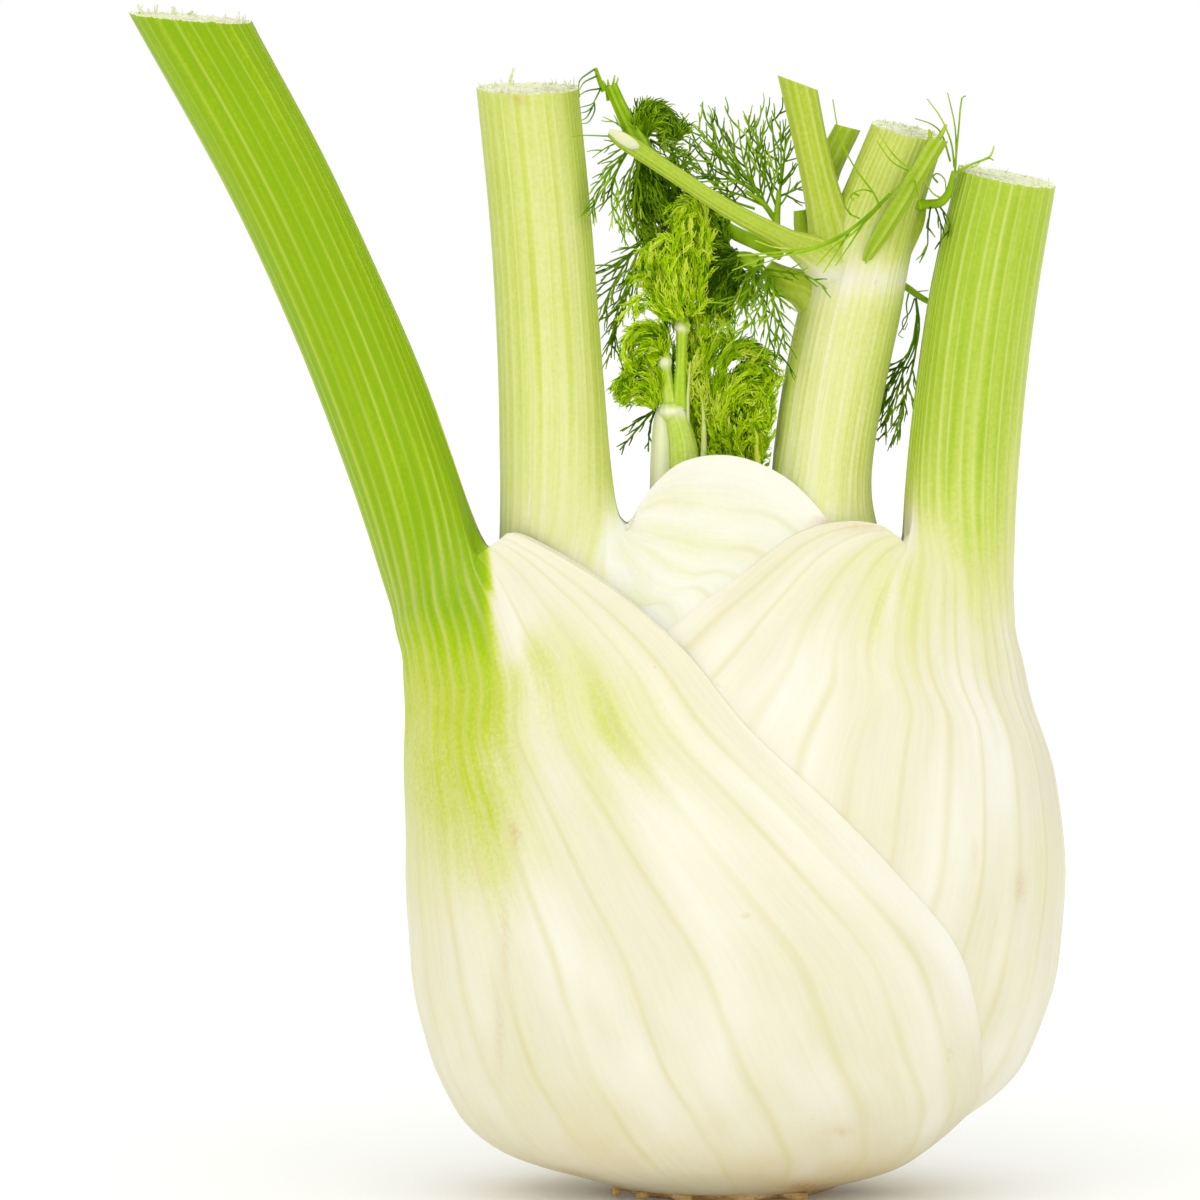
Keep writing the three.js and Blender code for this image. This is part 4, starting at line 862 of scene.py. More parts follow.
def grow_stems(name, stems, node, skin, cut):
    """Several stems fused into one piece. Each is (rows, look): look holds options for stem_shell, 'green',
    the greenness low and high on the stem, and 'joints', the height and half height of each whitish joint."""
    points, faces, cut_faces, veins, greens, across = [], [], [], [], [], []
    start = 0
    for rows, look in stems:
        look = dict(look)
        low, high = look.pop("green")
        joints = look.pop("joints", ())
        stem, stem_faces, skin_faces, share, crests, around = stem_shell(rows, **look)
        points.append(stem)
        faces += plain(stem_faces, start)
        cut_faces += [0] * skin_faces + [1] * (len(stem_faces) - skin_faces)
        veins.append(0.35 * crests ** 3)
        pale = np.zeros(len(stem))
        for joint_height, half_height in joints:
            pale = np.maximum(pale, np.exp(-((stem[:, 2] - joint_height) / half_height) ** 2))
        greens.append((low + (high - low) * share) * (1 - 0.92 * pale))
        across.append(np.stack([around * 0.7, share * 3 + len(across)], -1))
        start += len(stem)
    looks = {"vein": np.concatenate(veins), "green": np.concatenate(greens), "stalk": np.ones(start)}
    piece = made_mesh(name, np.concatenate(points), faces, looks, np.concatenate(across))
    settle(piece, node, [skin, cut], cut_faces)


JOINT = [(155, 3)]      # height and half height of the whitish joint that the branches leave from
inner_branches = [
    ([[20.5, 0.8, 152, 7.4], [18.6, -0.4, 157.5, 5.8], [17, -1.4, 163.5, 3.8], [14.7, -2, 173, 2.9],
      [11.6, -2.2, 187.1, 3.05]],
     {"cut": -0.37, "green": (0.6, 0.8), "ribs": 11, "sides": 66, "joints": JOINT}),
    ([[18.5, 3.6, 154, 4.4], [16.2, 4.4, 161, 3], [15.6, 4.4, 166, 2.5], [16.6, 4.3, 172, 2.4],
      [20.2, 4.2, 179.5, 2.2]],
     {"cut": -0.25, "green": (0.75, 0.9), "ribs": 9, "sides": 54, "joints": JOINT}),
    ([[22.6, -5.8, 156.5, 0.5], [23.6, -6.6, 159, 1.1], [26, -7.2, 163, 1.55], [30, -7.4, 169.5, 1.6],
      [35, -6.6, 177.7, 1.6]],
     {"cut": -0.2, "green": (0.85, 0.95), "sides": 30, "ribs": 5, "rib_depth": 0.3}),
    ([[34, -6.7, 176, 0.5], [35.6, -6.7, 178.8, 0.4], [36.3, -6.6, 180.2, 0.25]],
     {"green": (0.9, 0.8), "sides": 8}),
    ([[33.2, -6.9, 175.4, 0.5], [33.6, -7, 178.2, 0.4], [33.4, -7, 179.4, 0.2]],
     {"green": (0.9, 0.7), "sides": 8}),
    ([[22, 1, 150.5, 7.3], [19, -1, 154.8, 5.7], [15.5, -3, 157.8, 3.9], [12, -4.6, 159.8, 2.5],
      [9, -5.4, 161.3, 1.9], [0, -5.8, 166.1, 1.5], [-9, -5.4, 171.9, 1.4], [-14.5, -5, 175.6, 1.5],
      [-17.6, -4.9, 177.5, 1.4], [-19.8, -4.8, 178.8, 0.7]],
     {"green": (0.7, 0.95), "sides": 66, "ribs": 11, "rib_depth": 0.07, "joints": JOINT}),
    # The pale oblique cut at the end of the thin stem.
    ([[-14.6, -6.2, 176.1, 0.3], [-16, -6.3, 176.9, 0.9], [-17.8, -6.3, 178, 0.95],
      [-19.8, -5.6, 179.1, 0.4]], {"green": (0.12, 0.12), "sides": 16, "flat": 0.35}),
    ([[16, 0.5, 150, 4.6], [12.8, 0, 152.4, 3.3], [9.4, -0.4, 154, 2.5], [6.6, -0.6, 156.2, 1.4]],
     {"green": (0.6, 0.95)}),
    ([[15.5, 2, 157, 2], [12.8, 2.4, 161.5, 1.4], [12.2, 2.6, 165.6, 1.1]],
     {"green": (0.8, 0.9), "sides": 16}),
    ([[28, 1.4, 160, 3.5], [31.2, 0.6, 163.5, 1.8], [32.6, 0, 166.3, 0.8]],
     {"green": (0.6, 0.9), "sides": 20}),
]
grow_stems("right_inner_branches", inner_branches, "leaf_right_inner", right_inner_skin, pith)


# ----------------------------------------
# Heart shoot. The youngest growth in the middle: a cream sheath, a juicy green stem with a swollen joint,
# and two thinner stems that end in white joints. All one soft piece, never cut.

shoot_stems = [
    ([[-4, 0, 80, 2.5], [-5, 0, 92, 5], [-6.4, 0, 104, 6.2], [-7.4, 0, 112, 5.8], [-7.8, 0, 120, 4.6]],
     {"green": (0.0, 0.1), "sides": 40}),
    ([[-10.6, 0.6, 112, 2.3], [-10.9, 0.6, 120, 2.1], [-11, 0.5, 127, 1.7], [-10.9, 0.2, 131.4, 1.2],
      [-10.4, -0.2, 133, 0.5]], {"green": (0.04, 0.16), "flat": 1.9, "sides": 28}),
    # The main stem ends in a whitish joint, and each of the two thin stems above it in one of its own.
    ([[-7.2, -0.8, 114, 2.9], [-7.3, -0.8, 124, 2.6], [-7.8, -0.8, 128, 2.2], [-8.6, -0.8, 130.8, 2.1],
      [-9.1, -0.8, 132, 2.5], [-9.3, -0.8, 133, 2.1], [-9.3, -0.8, 134, 1]],
     {"green": (0.42, 0.62), "ribs": 9, "sides": 72, "rib_depth": 0.16, "joints": [(132.1, 1)]}),
    ([[-9.4, -1, 132.4, 1.5], [-9.9, -0.9, 135.5, 1.1], [-10.4, -0.7, 138.8, 1.05], [-10.6, -0.6, 140, 1.35],
      [-10.7, -0.6, 141, 1.25], [-10.8, -0.6, 142.6, 0.7]],
     {"green": (0.55, 0.7), "ribs": 6, "sides": 48, "rib_depth": 0.1, "joints": [(140.3, 0.9)]}),
    ([[-8, -1, 132.4, 1.5], [-7.8, -1, 139, 0.95], [-7.6, -1, 144.6, 1], [-7.6, -1, 146, 1.3],
      [-7.6, -1, 146.9, 1.15], [-7.6, -1, 149, 0.7]],
     {"green": (0.72, 0.72), "ribs": 6, "sides": 48, "rib_depth": 0.1, "joints": [(146.2, 0.9)]}),
    ([[-6, -0.4, 117, 1.2], [-4.6, -0.8, 121, 0.8], [-4, -1.2, 124, 0.6], [-3.9, -1.4, 129.6, 0.4],
      [-4.2, -1.4, 134, 0.12]], {"green": (0.0, 0.4), "sides": 14}),
    ([[-6.6, -1.4, 130, 0.3], [-6.6, -1.8, 135, 0.25], [-6.2, -1.8, 140.6, 0.08]],
     {"green": (0.2, 0.4), "sides": 10}),
]
shoot_skin = waxy_leaf(
    "juicy_young_shoot",
    [(0.0, "#F3F3D4"), (0.3, "#DFEA8E"), (0.65, "#B5D42C"), (1.0, "#93C012")],
    "#E4E9A4", "#D6E47A")
grow_stems("heart_shoot_stems", shoot_stems, "heart_shoot", shoot_skin, pith)


# ----------------------------------------
# Root base. The trimmed stump that the leaves grow from: dry, corky and tan, softly lobed, and sliced flat
# underneath with a knife, which left rags of old leaf and root round its edge.

# The root's outline as [radius, height], from the middle of the slice round to the middle of its top.
root_rows = [[0, 0], [6, 0], [11, 0], [13.6, 0], [15.6, 0.6], [17.2, 1.5], [17.6, 2.6], [17.2, 3.6],
             [14.5, 6.6], [11, 9], [5, 9], [0, 9]]
ROOT_SIDES = 120
ROOT_DEPTH = 0.78       # its depth from front to back as a share of its width


def corky_root():
    """Trimmed root plate: dry cork and old fibre. It gives a rough, matt, tan face with darker cracks."""
    material, tree, place = new_material("trimmed_root_cork")
    grain = add_node(tree, "TexNoise", {"Scale": 1 / (2.5 * MM), "Detail": 5.0, "Roughness": 0.65},
                     {"Vector": place})
    colour = add_node(tree, "ValToRGB",
                      {"stops": [(0.25, "#A5773E"), (0.5, "#D9B273"), (0.75, "#EFDDB4")]}, {"Fac": grain})
    bump = add_node(tree, "Bump", {"Strength": 0.9, "Distance": 0.5 * MM}, {"Height": grain})
    finish_material(tree, {"Roughness": 0.8, "IOR": 1.45}, {"Base Color": colour, "Normal": bump})
    return material


def smooth_path(points, count):
    """A curve through the points, read at even steps."""
    return np.stack(table_at(numbered(points), np.linspace(0, len(points) - 1, count)), -1)


def root_mesh():
    turn = np.linspace(0, 2 * np.pi, ROOT_SIDES, endpoint=False)
    lobes = 1.06 + 0.05 * np.cos(5 * turn + 0.6) + 0.03 * np.cos(9 * turn)
    points = [[0, 0, 0]]
    for radius, z in root_rows[1:-1]:
        points += [[radius * lobe * math.cos(angle), ROOT_DEPTH * radius * lobe * math.sin(angle), z]
                   for angle, lobe in zip(turn, lobes)]
    points.append([0, 0, root_rows[-1][1]])
    rings = 1 + np.arange((len(root_rows) - 2) * ROOT_SIDES).reshape(-1, ROOT_SIDES)
    first, last = rings[0], rings[-1]
    underneath = [(0, int(b), int(a)) for a, b in zip(first, np.roll(first, -1))]
    on_top = [(len(points) - 1, int(a), int(b)) for a, b in zip(last, np.roll(last, -1))]
    return points, underneath + ringed(rings) + on_top


root_points, root_faces = root_mesh()
# Rags of old leaf and root left round the edge of the slice.
rag_points, rag_faces, _ = thread_mesh([(smooth_path(path, 7), radius, 0) for path, radius in [
    ([[-15, -5.6, 3.2], [-17.6, -7, 2], [-19, -7.6, 1.4], [-18.4, -8.4, 0.9]], 0.8),
    ([[-12, -8.6, 2], [-13.6, -10.6, 1.3], [-15, -11.4, 0.9]], 0.7),
    ([[-10, -10.4, 2], [-8.6, -12.6, 1.2], [-6, -13.4, 0.9]], 0.75),
    ([[-1, -11.4, 2], [1.6, -13.6, 1], [4.4, -14, 0.9]], 0.65),
    ([[8, -10.4, 2], [10.6, -12, 1.2], [13.4, -12, 1]], 0.8)]], sides=8, tip=0.8)
root = made_mesh("trimmed_root_base", np.concatenate([root_points, rag_points]),
                 root_faces + plain(rag_faces, len(root_points)))
settle(root, "root_base", [corky_root()])


# ----------------------------------------
# Young plume. The tuft of unopened leaf on the taller thin stem: fine green threads in close pairs, each
# one curling up towards the stem that bears it, round a dark core body that paints the shade inside.

DOWN = np.array([0, 0, -1.0])
BACK = np.array([0, 1.0, 0])    # the fronds spread across this direction


def bent_path(random, start, heading, along, length, curl, droop, count):
    """A thread that sets off at a heading and turns, by curl radians in all, to its parent's direction."""
    axis = np.cross(heading, along)
    axis = axis / (np.linalg.norm(axis) + 1e-9)
    turn = curl / (count - 1) * random.uniform(0.6, 1.4)
    path = [start]
    for _ in range(count - 1):
        path.append(path[-1] + heading * length / (count - 1))
        heading = heading * math.cos(turn) + np.cross(axis, heading) * math.sin(turn)
        heading = heading + droop * DOWN / (count - 1) + random.normal(0, 0.07, 3)
        heading = heading / np.linalg.norm(heading)
    return np.array(path)


def feathered(out, random, path, radius, levels, tone):
    """Adds a thread along the path, side threads to its left and right, and theirs in turn. A level says how:
    'every' so many mm one of a 'length' at an 'angle', or 'pairs' of them, on a 'span' of its parent, shorter
    towards the tip by a 'taper', 'loose' in angle, turned out of the frond's plane by a 'roll', with a 'curl'
    and a 'droop'."""
    out.append((path, radius, tone))
    if not levels:
        return
    level = levels[0]
    pieces = np.linalg.norm(np.diff(path, axis=0), axis=1)
    reached = np.concatenate([[0], np.cumsum(pieces)]) / pieces.sum()
    begin, finish = level.get("span", (0.15, 0.97))
    count = max(1, round(pieces.sum() * (finish - begin) / level["every"]))
    for i in range(count):
        f = begin + (finish - begin) * (i + random.uniform(0.2, 0.8)) / count
        at = np.array([np.interp(f, reached, path[:, k]) for k in range(3)])
        k = min(np.searchsorted(reached, f), len(path) - 1)
        along = path[k] - path[k - 1]
        along = along / np.linalg.norm(along)
        side = np.cross(along, BACK)
        side = side / np.linalg.norm(side)
        for hand in ((-1, 1) if level.get("pairs") else (1 if i % 2 else -1,)):
            angle = math.radians(random.normal(level["angle"], level.get("loose", 8)))
            roll = random.normal(0, level.get("roll", 0.4))
            out_of_axis = hand * math.cos(roll) * side + math.sin(roll) * BACK
            heading = math.cos(angle) * along + math.sin(angle) * out_of_axis
            reach = level["length"] * (1 - level.get("taper", 0.5) * f) * random.uniform(0.7, 1.2)
            child = bent_path(random, at, heading, along, reach, level.get("curl", 0.5),
                              level.get("droop", 0), level.get("points", 4))
            feathered(out, random, child, level["radius"], levels[1:], tone + random.normal(0, 0.15))


FRIZZ = {"every": 0.52, "angle": 36, "length": 1.7, "taper": 0.3, "curl": 1.2, "radius": 0.14, "roll": 0.9,
         "pairs": True, "span": (0.05, 0.98), "points": 4}
SPINE_POINTS = 25       # points along a lock's spine
THREAD_POINTS = 6       # points along each of its threads
THREAD_RADIUS = 0.17
LOCK_DEPTH = 0.7        # how far the threads stray from front to back


def lock(out, random, spine, width, number, tone, share, frizz, side_threads):
    """Fine frizzy threads that lie along a spine like a lock of hair, up to a width to each side of it. Each
    follows it for a share of its length, bears short side threads, and lifts off at its tip."""
    flow = smooth_path(spine, SPINE_POINTS)
    along = np.gradient(flow, axis=0)
    across = np.cross(along, BACK)
    across /= np.linalg.norm(across, axis=1)[:, None] + 1e-9
    rise = np.linspace(0, 1, THREAD_POINTS)[:, None]
    numbers = np.arange(SPINE_POINTS)
    for _ in range(number):
        begin = random.uniform(-0.05, 1 - 0.6 * share)
        steps = numbers[-1] * np.clip(begin + share * random.uniform(0.6, 1.3) * rise[:, 0], 0, 1)
        aside = width * random.uniform(-1, 1) * (0.55 + 0.45 * np.clip(steps / 10, 0, 1))[:, None]
        path = np.stack([np.interp(steps, numbers, flow[:, axis]) for axis in range(3)], -1)
        path += aside * np.stack([np.interp(steps, numbers, across[:, axis]) for axis in range(3)], -1)
        path[:, 1] += random.normal(0, LOCK_DEPTH)
        path += random.normal(0, frizz, 3) * rise ** 2 + 0.02 * rise
        feathered(out, random, path, THREAD_RADIUS, [side_threads], tone + random.normal(0, 0.18))


def add_locks(out, random, share, frizz, locks, side_threads=FRIZZ):
    """Adds locks, each (spine, width, number of threads, tone)."""
    for spine, width, number, tone in locks:
        lock(out, random, spine, width, number, tone, share, frizz, side_threads)


def add_sprays(out, random, radius, levels, tone, paths, points=9):
    """Adds a feathered stem along each path."""
    for path in paths:
        feathered(out, random, smooth_path(path, points), radius, levels, tone)


def shade_core_mesh(rows, flat, random, sides=22):
    """Painted shade inside a crowded head: a dark, lumpy closed body through rows [x, y, z, radius]."""
    key = np.linspace(0, len(rows) - 1, 5 * len(rows))
    x, y, z, radius = table_at(numbered(rows), key)
    turn = np.linspace(0, 2 * np.pi, sides, endpoint=False)
    bump = 1 + random.uniform(-0.2, 0.12, (len(key), sides))
    reach = radius[:, None] * bump
    points = np.stack([x[:, None] + reach * np.cos(turn), y[:, None] + reach * flat * np.sin(turn),
                       z[:, None] + random.uniform(-0.2, 0.2, reach.shape)], -1)
    rings = np.arange(len(key) * sides).reshape(-1, sides)
    faces = ringed(rings) + plain([rings[0][::-1], rings[-1]])
    return points.reshape(-1, 3), faces, random.uniform(-0.4, 0.2, points.shape[0] * sides)


def grow_frond(name, node, material, threads, bodies=()):
    """One piece from a frond's threads and its thicker closed bodies (points, faces, tone)."""
    points, faces, tones = zip(thread_mesh(threads), *bodies)
    starts = np.cumsum([0] + [len(part) for part in points])
    all_faces = [face for part, start in zip(faces, starts) for face in plain(part, int(start))]
    piece = made_mesh(name, np.concatenate(points), all_faces, {"tone": np.concatenate(tones)}, soft_angle=80)
    settle(piece, node, [material])


def frond_skin(name, stops):
    """Thread-like fennel leaf: smooth, thin and full of sap. Each thread takes its own green, and light
    passing through the thin ones keeps the tuft bright inside."""
    material, tree, place = new_material(name)
    tone = add_node(tree, "Attribute", {"attribute_name": "tone"})
    # Greens wander over about 3 mm, and the surface over 0.4 mm.
    wander = add_node(tree, "TexNoise", {"Scale": 1 / (3 * MM), "Detail": 2.0}, {"Vector": place})
    grain = add_node(tree, "TexNoise", {"Scale": 1 / (0.4 * MM)}, {"Vector": place})
    push = add_node(tree, "Math", {"operation": "MULTIPLY_ADD", 1: 0.5, 2: -0.25}, {0: wander})
    total = add_node(tree, "Math", {"operation": "ADD", "use_clamp": True},
                     {0: tone.outputs["Fac"], 1: push})
    colour = add_node(tree, "ValToRGB", {"stops": stops}, {"Fac": total})
    bump = add_node(tree, "Bump", {"Strength": 0.3, "Distance": 0.05 * MM}, {"Height": grain})
    finish_material(tree, {"Roughness": 0.45, "IOR": 1.4, "Specular IOR Level": 0.12,
                           "Subsurface Weight": 0.15, "Subsurface Radius": (1.0, 0.9, 0.1),
                           "Subsurface Scale": 0.5 * MM},
                    {"Base Color": colour, "Normal": bump})
    return material


def frond_stem(rows, tone, sides=14, ribs=0):
    """A frond's thicker stem as a closed body; its ribs, if any, are paler than its furrows."""
    points, faces, _, _, crests, _ = stem_shell(rows, sides=max(sides, 6 * ribs), step=0.25, ribs=ribs)
    return points, faces, tone + (0.3 * (crests - 0.5) if ribs else 0 * crests)


young_skin = frond_skin("young_frond_threads", [(0.0, "#447200"), (0.3, "#92C000"), (0.65, "#C6E610"),
                                                (1.0, "#E4F058")])
PINNA = {"every": 0.85, "angle": 50, "length": 3.4, "taper": 0.4, "curl": 1.2, "radius": 0.2, "roll": 0.9,
         "pairs": True, "points": 5}
LEAFLET = {"every": 0.7, "angle": 52, "length": 1.9, "taper": 0.3, "curl": 1.7, "radius": 0.16, "roll": 0.9,
           "pairs": True, "span": (0.1, 0.98), "points": 5}
plume_random = np.random.default_rng(11)
plume_threads = []
# Locks that sweep up and hook over, the ones in front first.
add_locks(plume_threads, plume_random, 0.22, 0.8, [
    ([[-6.4, -1.5, 150], [-4.8, -2.2, 156], [-3.9, -2.4, 161.5], [-4.2, -2.4, 165], [-6, -2.4, 166.8],
      [-7.8, -2.2, 166.2], [-8.6, -2, 164]], 1.1, 42, 0.6),
    ([[-7.6, -3, 148], [-8.4, -3.6, 153], [-8.8, -3.8, 158.5], [-7.8, -3.6, 163], [-6.4, -3.2, 165.6]],
     1.6, 48, 0.6),
    ([[-8, -2.4, 147.6], [-10.8, -3, 151.6], [-12, -3.2, 156], [-12, -3, 158.8], [-13.2, -2.6, 158.6],
      [-14, -2.2, 156.6]], 1.3, 40, 0.55),
    ([[-8.4, -2.6, 147.4], [-11, -3.2, 149], [-13.6, -3.2, 150.6], [-15.2, -2.8, 150], [-15.6, -2.4, 148]],
     1.2, 34, 0.5),
    ([[-8.6, -2, 149], [-11.4, -2.4, 153], [-13.8, -2.4, 154.8], [-15, -2, 153.4]], 1.3, 30, 0.5),
    ([[-7, -2.4, 148], [-5.2, -3, 151.4], [-4.4, -3, 155.4], [-4, -2.8, 158.6], [-3.2, -2.4, 159.4]],
     1.2, 34, 0.5),
    ([[-7.8, -3.4, 147.6], [-9.4, -4.2, 151], [-10, -4.4, 154.6], [-9.2, -4.2, 158], [-10.2, -3.8, 160.4],
      [-11.4, -3.4, 159.6]], 1.3, 40, 0.65),
    ([[-7.2, -2.6, 147.8], [-5.8, -3, 149.2], [-4.6, -3, 152]], 1.1, 18, 0.5),
    ([[-7, -2, 149], [-6.4, -2.8, 154], [-6.2, -2.8, 160], [-6.6, -2.6, 165]], 1.2, 40, 0.6),
    # The two wide locks at the back take a darker tone: painted shade behind the front ones.
    ([[-8, 0.8, 148], [-9, 1.2, 154], [-8.4, 1.4, 160], [-7, 1.2, 164.6]], 2.6, 52, 0.3),
    ([[-8.6, 0.4, 148], [-11.6, 0.8, 152], [-12.6, 0.8, 156], [-11.6, 0.8, 160]], 1.8, 32, 0.3),
])
add_sprays(plume_threads, plume_random, 0.36, [dict(PINNA, every=1.2), LEAFLET], 0.5, [
    [[-7.6, -2.4, 147], [-8.4, -3.4, 152], [-8.6, -3.6, 158], [-7, -3, 163]],
    [[-7.8, -1, 147], [-10.6, -1.4, 151], [-12, -1.6, 155.6]],
    [[-7.4, -1, 147], [-5.8, -1.4, 152], [-4.8, -1.6, 158.6], [-4.8, -1.6, 162.6]],
])
# A dark core body inside the tuft: painted shade.
plume_shade_core = shade_core_mesh([[-7.6, -0.4, 147.6, 0.4], [-8.4, 0, 149.4, 2.2], [-9.4, 0.8, 153.4, 3.4],
                        [-8.8, 0.8, 158, 3], [-7, 0.8, 162, 2.2], [-6.2, 0.8, 165, 0.8]], 0.6, plume_random)
grow_frond("young_plume", "frond_heart_plume", young_skin, plume_threads, [plume_shade_core])


# ----------------------------------------
# Upper curl. A young leaf tip on the shorter stem: it bends out to the left and folds under, so that its
# threads lie like combed hair.

curl_random = np.random.default_rng(23)
TUFT = dict(LEAFLET, every=0.8, length=1.8)
TUFT_PINNA = dict(PINNA, every=1, length=2.2, angle=40)
upper_threads = []
add_locks(upper_threads, curl_random, 0.28, 0.6, [
    ([[-10.4, -0.8, 141.2], [-10.4, -1.2, 144.4], [-12.2, -1.6, 146], [-15, -1.8, 145.8],
      [-16.6, -1.6, 143.6], [-16.6, -1.4, 140.8], [-15.4, -1.2, 139]], 1.1, 46, 0.5),
    ([[-10.8, -1, 141], [-11.8, -1.8, 142.8], [-13.2, -2.2, 143.4], [-14.4, -2, 142.6], [-14.8, -1.6, 140.8]],
     1.1, 30, 0.5),
    ([[-10.9, -1, 140.8], [-11.8, -1.8, 141.2], [-12.8, -2, 141.2], [-13.4, -1.8, 140.2]], 0.8, 16, 0.5),
    ([[-10.6, 0.8, 141.2], [-11.4, 1.2, 144], [-13.4, 1.4, 145], [-15.4, 1.2, 144]], 1.6, 22, 0.5),
    ([[-12.8, -1, 144.8], [-13.4, -1.6, 142.8], [-13, -1.8, 140.6], [-12.2, -1.6, 138.8]], 1.3, 26, 0.5),
])
add_sprays(upper_threads, curl_random, 0.32, [TUFT_PINNA, TUFT], 0.5, [
    [[-10.7, -0.5, 141.4], [-11, -0.8, 144.4], [-13, -1.2, 146], [-15.4, -1.4, 145.6], [-16.2, -1.2, 143]],
    [[-10.8, -0.4, 142], [-12, 0.4, 143.8], [-13.8, 1, 144], [-15, 1, 142]],
])
# A dark core body inside the curl: painted shade.
upper_shade_core = shade_core_mesh([[-11.2, 0.2, 142.4, 0.4], [-12.4, 0.2, 143.8, 0.9], [-13.9, 0.2, 144.2, 0.9],
                        [-15, 0.2, 143.6, 0.4]], 0.9, curl_random, 14)
grow_frond("young_curl_upper", "frond_heart_curl_upper", young_skin, upper_threads,
           [upper_shade_core])


# ----------------------------------------
# Lower curl. The same folded growth again, lower and further left, of the same soft threads, sprung from the
# shoot's own joint.

lower_threads = []
add_locks(lower_threads, curl_random, 0.3, 0.6, [
    ([[-11.4, -0.2, 132.6], [-11.2, -0.8, 136.2], [-12.8, -1.2, 138.8], [-15.4, -1.6, 139],
      [-17.4, -1.4, 137.2], [-18.6, -1.2, 134.8]], 1.1, 46, 0.5),
    ([[-11.6, -0.4, 132.6], [-12.4, -1.4, 135.2], [-14.2, -2, 136.4], [-16.2, -1.8, 136],
      [-17.8, -1.4, 134.6]], 1.2, 38, 0.5),
    ([[-11.8, -0.4, 132.4], [-12.8, -1.4, 133.6], [-14.2, -1.8, 134.2], [-15.6, -1.6, 134],
      [-16.8, -1.4, 133.4]], 0.9, 22, 0.5),
    ([[-11.6, 1.2, 133], [-12.4, 1.2, 136.4], [-14.4, 1.2, 138], [-16.4, 1.2, 137]], 1.6, 22, 0.5),
])
add_sprays(lower_threads, curl_random, 0.32, [TUFT_PINNA, TUFT], 0.48, [
    [[-11.8, 0.6, 133], [-12.2, 0.2, 136], [-14, -0.4, 138.4], [-16.2, -0.6, 138.2], [-17.4, -0.5, 136.2]],
    [[-11.9, 0.5, 133.2], [-13, -0.4, 134.8], [-14.6, -0.8, 135.6], [-16.4, -0.8, 135]],
])
# A dark core body inside the curl: painted shade.
lower_shade_core = shade_core_mesh([[-12.3, 0.8, 134.4, 0.4], [-13, 0.8, 135.6, 1], [-14.6, 0.8, 137, 1.3],
                        [-16.2, 0.8, 137, 0.7]], 0.8, curl_random, 14)
grow_frond("young_curl_lower", "frond_heart_curl_lower", young_skin, lower_threads,
           [lower_shade_core])


# ----------------------------------------
# Loose spray between the shoot and the mass at its right: soft young threads just coming apart, on a thin
# white stem of its own that grew from the heart.

spray_random = np.random.default_rng(31)
SPRAY_PINNA = dict(PINNA, every=0.9, length=2.4, angle=40)
spray_threads = []
add_locks(spray_threads, spray_random, 0.26, 0.7, [
    ([[-3.4, 1, 122], [-4.2, 0.6, 128], [-4.4, 0.4, 133], [-5.2, 0.4, 137]], 1.3, 28, 0.7),
    ([[-3.2, 1.6, 124], [-2.4, 1.2, 130], [-2.6, 1, 135], [-4, 0.8, 140]], 1.2, 24, 0.6),
    ([[-5, 1.4, 134], [-4.6, 1, 139], [-3.6, 0.6, 143], [-4.2, 0.4, 147], [-3.4, 0.2, 149.6]], 1.2, 30, 0.6),
    ([[-4, 1.4, 138], [-2, 1, 142], [-0.6, 0.8, 144.6], [-0.4, 0.8, 147], [-1.6, 0.6, 148.8]], 0.9, 22, 0.55),
    # The locks from here on lie further back and take darker tones: painted shade.
    ([[-6.8, 3.2, 124], [-7, 2.8, 132], [-6.4, 2.6, 139], [-6, 2.4, 147]], 1.8, 34, 0.3),
    ([[-9, 3, 132], [-9, 2.6, 138], [-9.2, 2.6, 144], [-9, 2.4, 148.6]], 1.4, 22, 0.3),
    ([[-5.6, 1.6, 138], [-5.8, 1.4, 142], [-5.6, 1.2, 146], [-5.2, 1, 149.4]], 1, 24, 0.4),
    ([[-6.4, 2, 126], [-6.2, 2, 132], [-6.2, 2, 138], [-6, 2, 144]], 0.9, 26, 0.35),
])
add_sprays(spray_threads, spray_random, 0.3, [SPRAY_PINNA, LEAFLET], 0.5, [
    [[-3.6, 3.6, 118], [-4, 1.4, 126], [-4, 0.6, 131], [-4.4, 0.4, 135]],
    [[-3.6, 3.8, 118], [-5.2, 1.8, 126], [-5.8, 1.2, 131], [-5.4, 1, 136]],
    [[-3.4, 3.8, 120], [-2.6, 2, 127], [-2, 1.6, 132], [-2.2, 1.4, 137]],
    [[-4.4, 3.6, 133], [-4.2, 2.4, 138.6], [-3, 1.6, 143.6], [-1.6, 1, 147], [0, 0.6, 147.6],
     [0.6, 0.4, 145.6]],
    [[-4, 3.8, 134], [-4.4, 2.6, 140], [-3.8, 2, 145], [-3.2, 1.6, 148.6]],
    [[-6.6, 3.4, 128], [-7.4, 2.6, 133], [-7, 2.2, 138], [-5.8, 2, 142]],
])
# Two pale ribs stand in front, each with short pale threads off both its sides.
PALE_PINNA = dict(SPRAY_PINNA, every=0.8, length=2.2, angle=30, radius=0.17, curl=0.9)
add_sprays(spray_threads, spray_random, 0.28, [PALE_PINNA, LEAFLET], 0.94, [
    [[-4.3, 0, 125.4], [-3.9, -0.6, 129], [-3.9, -0.8, 132.4], [-4.6, -0.6, 136]],
    [[-6.7, 0.2, 131], [-6.5, -0.4, 134.6], [-6.6, -0.6, 138], [-7.2, -0.4, 141]],
    [[-6.5, -0.2, 135.6], [-5.8, -0.4, 138.6], [-5.2, -0.4, 141.4]],
])
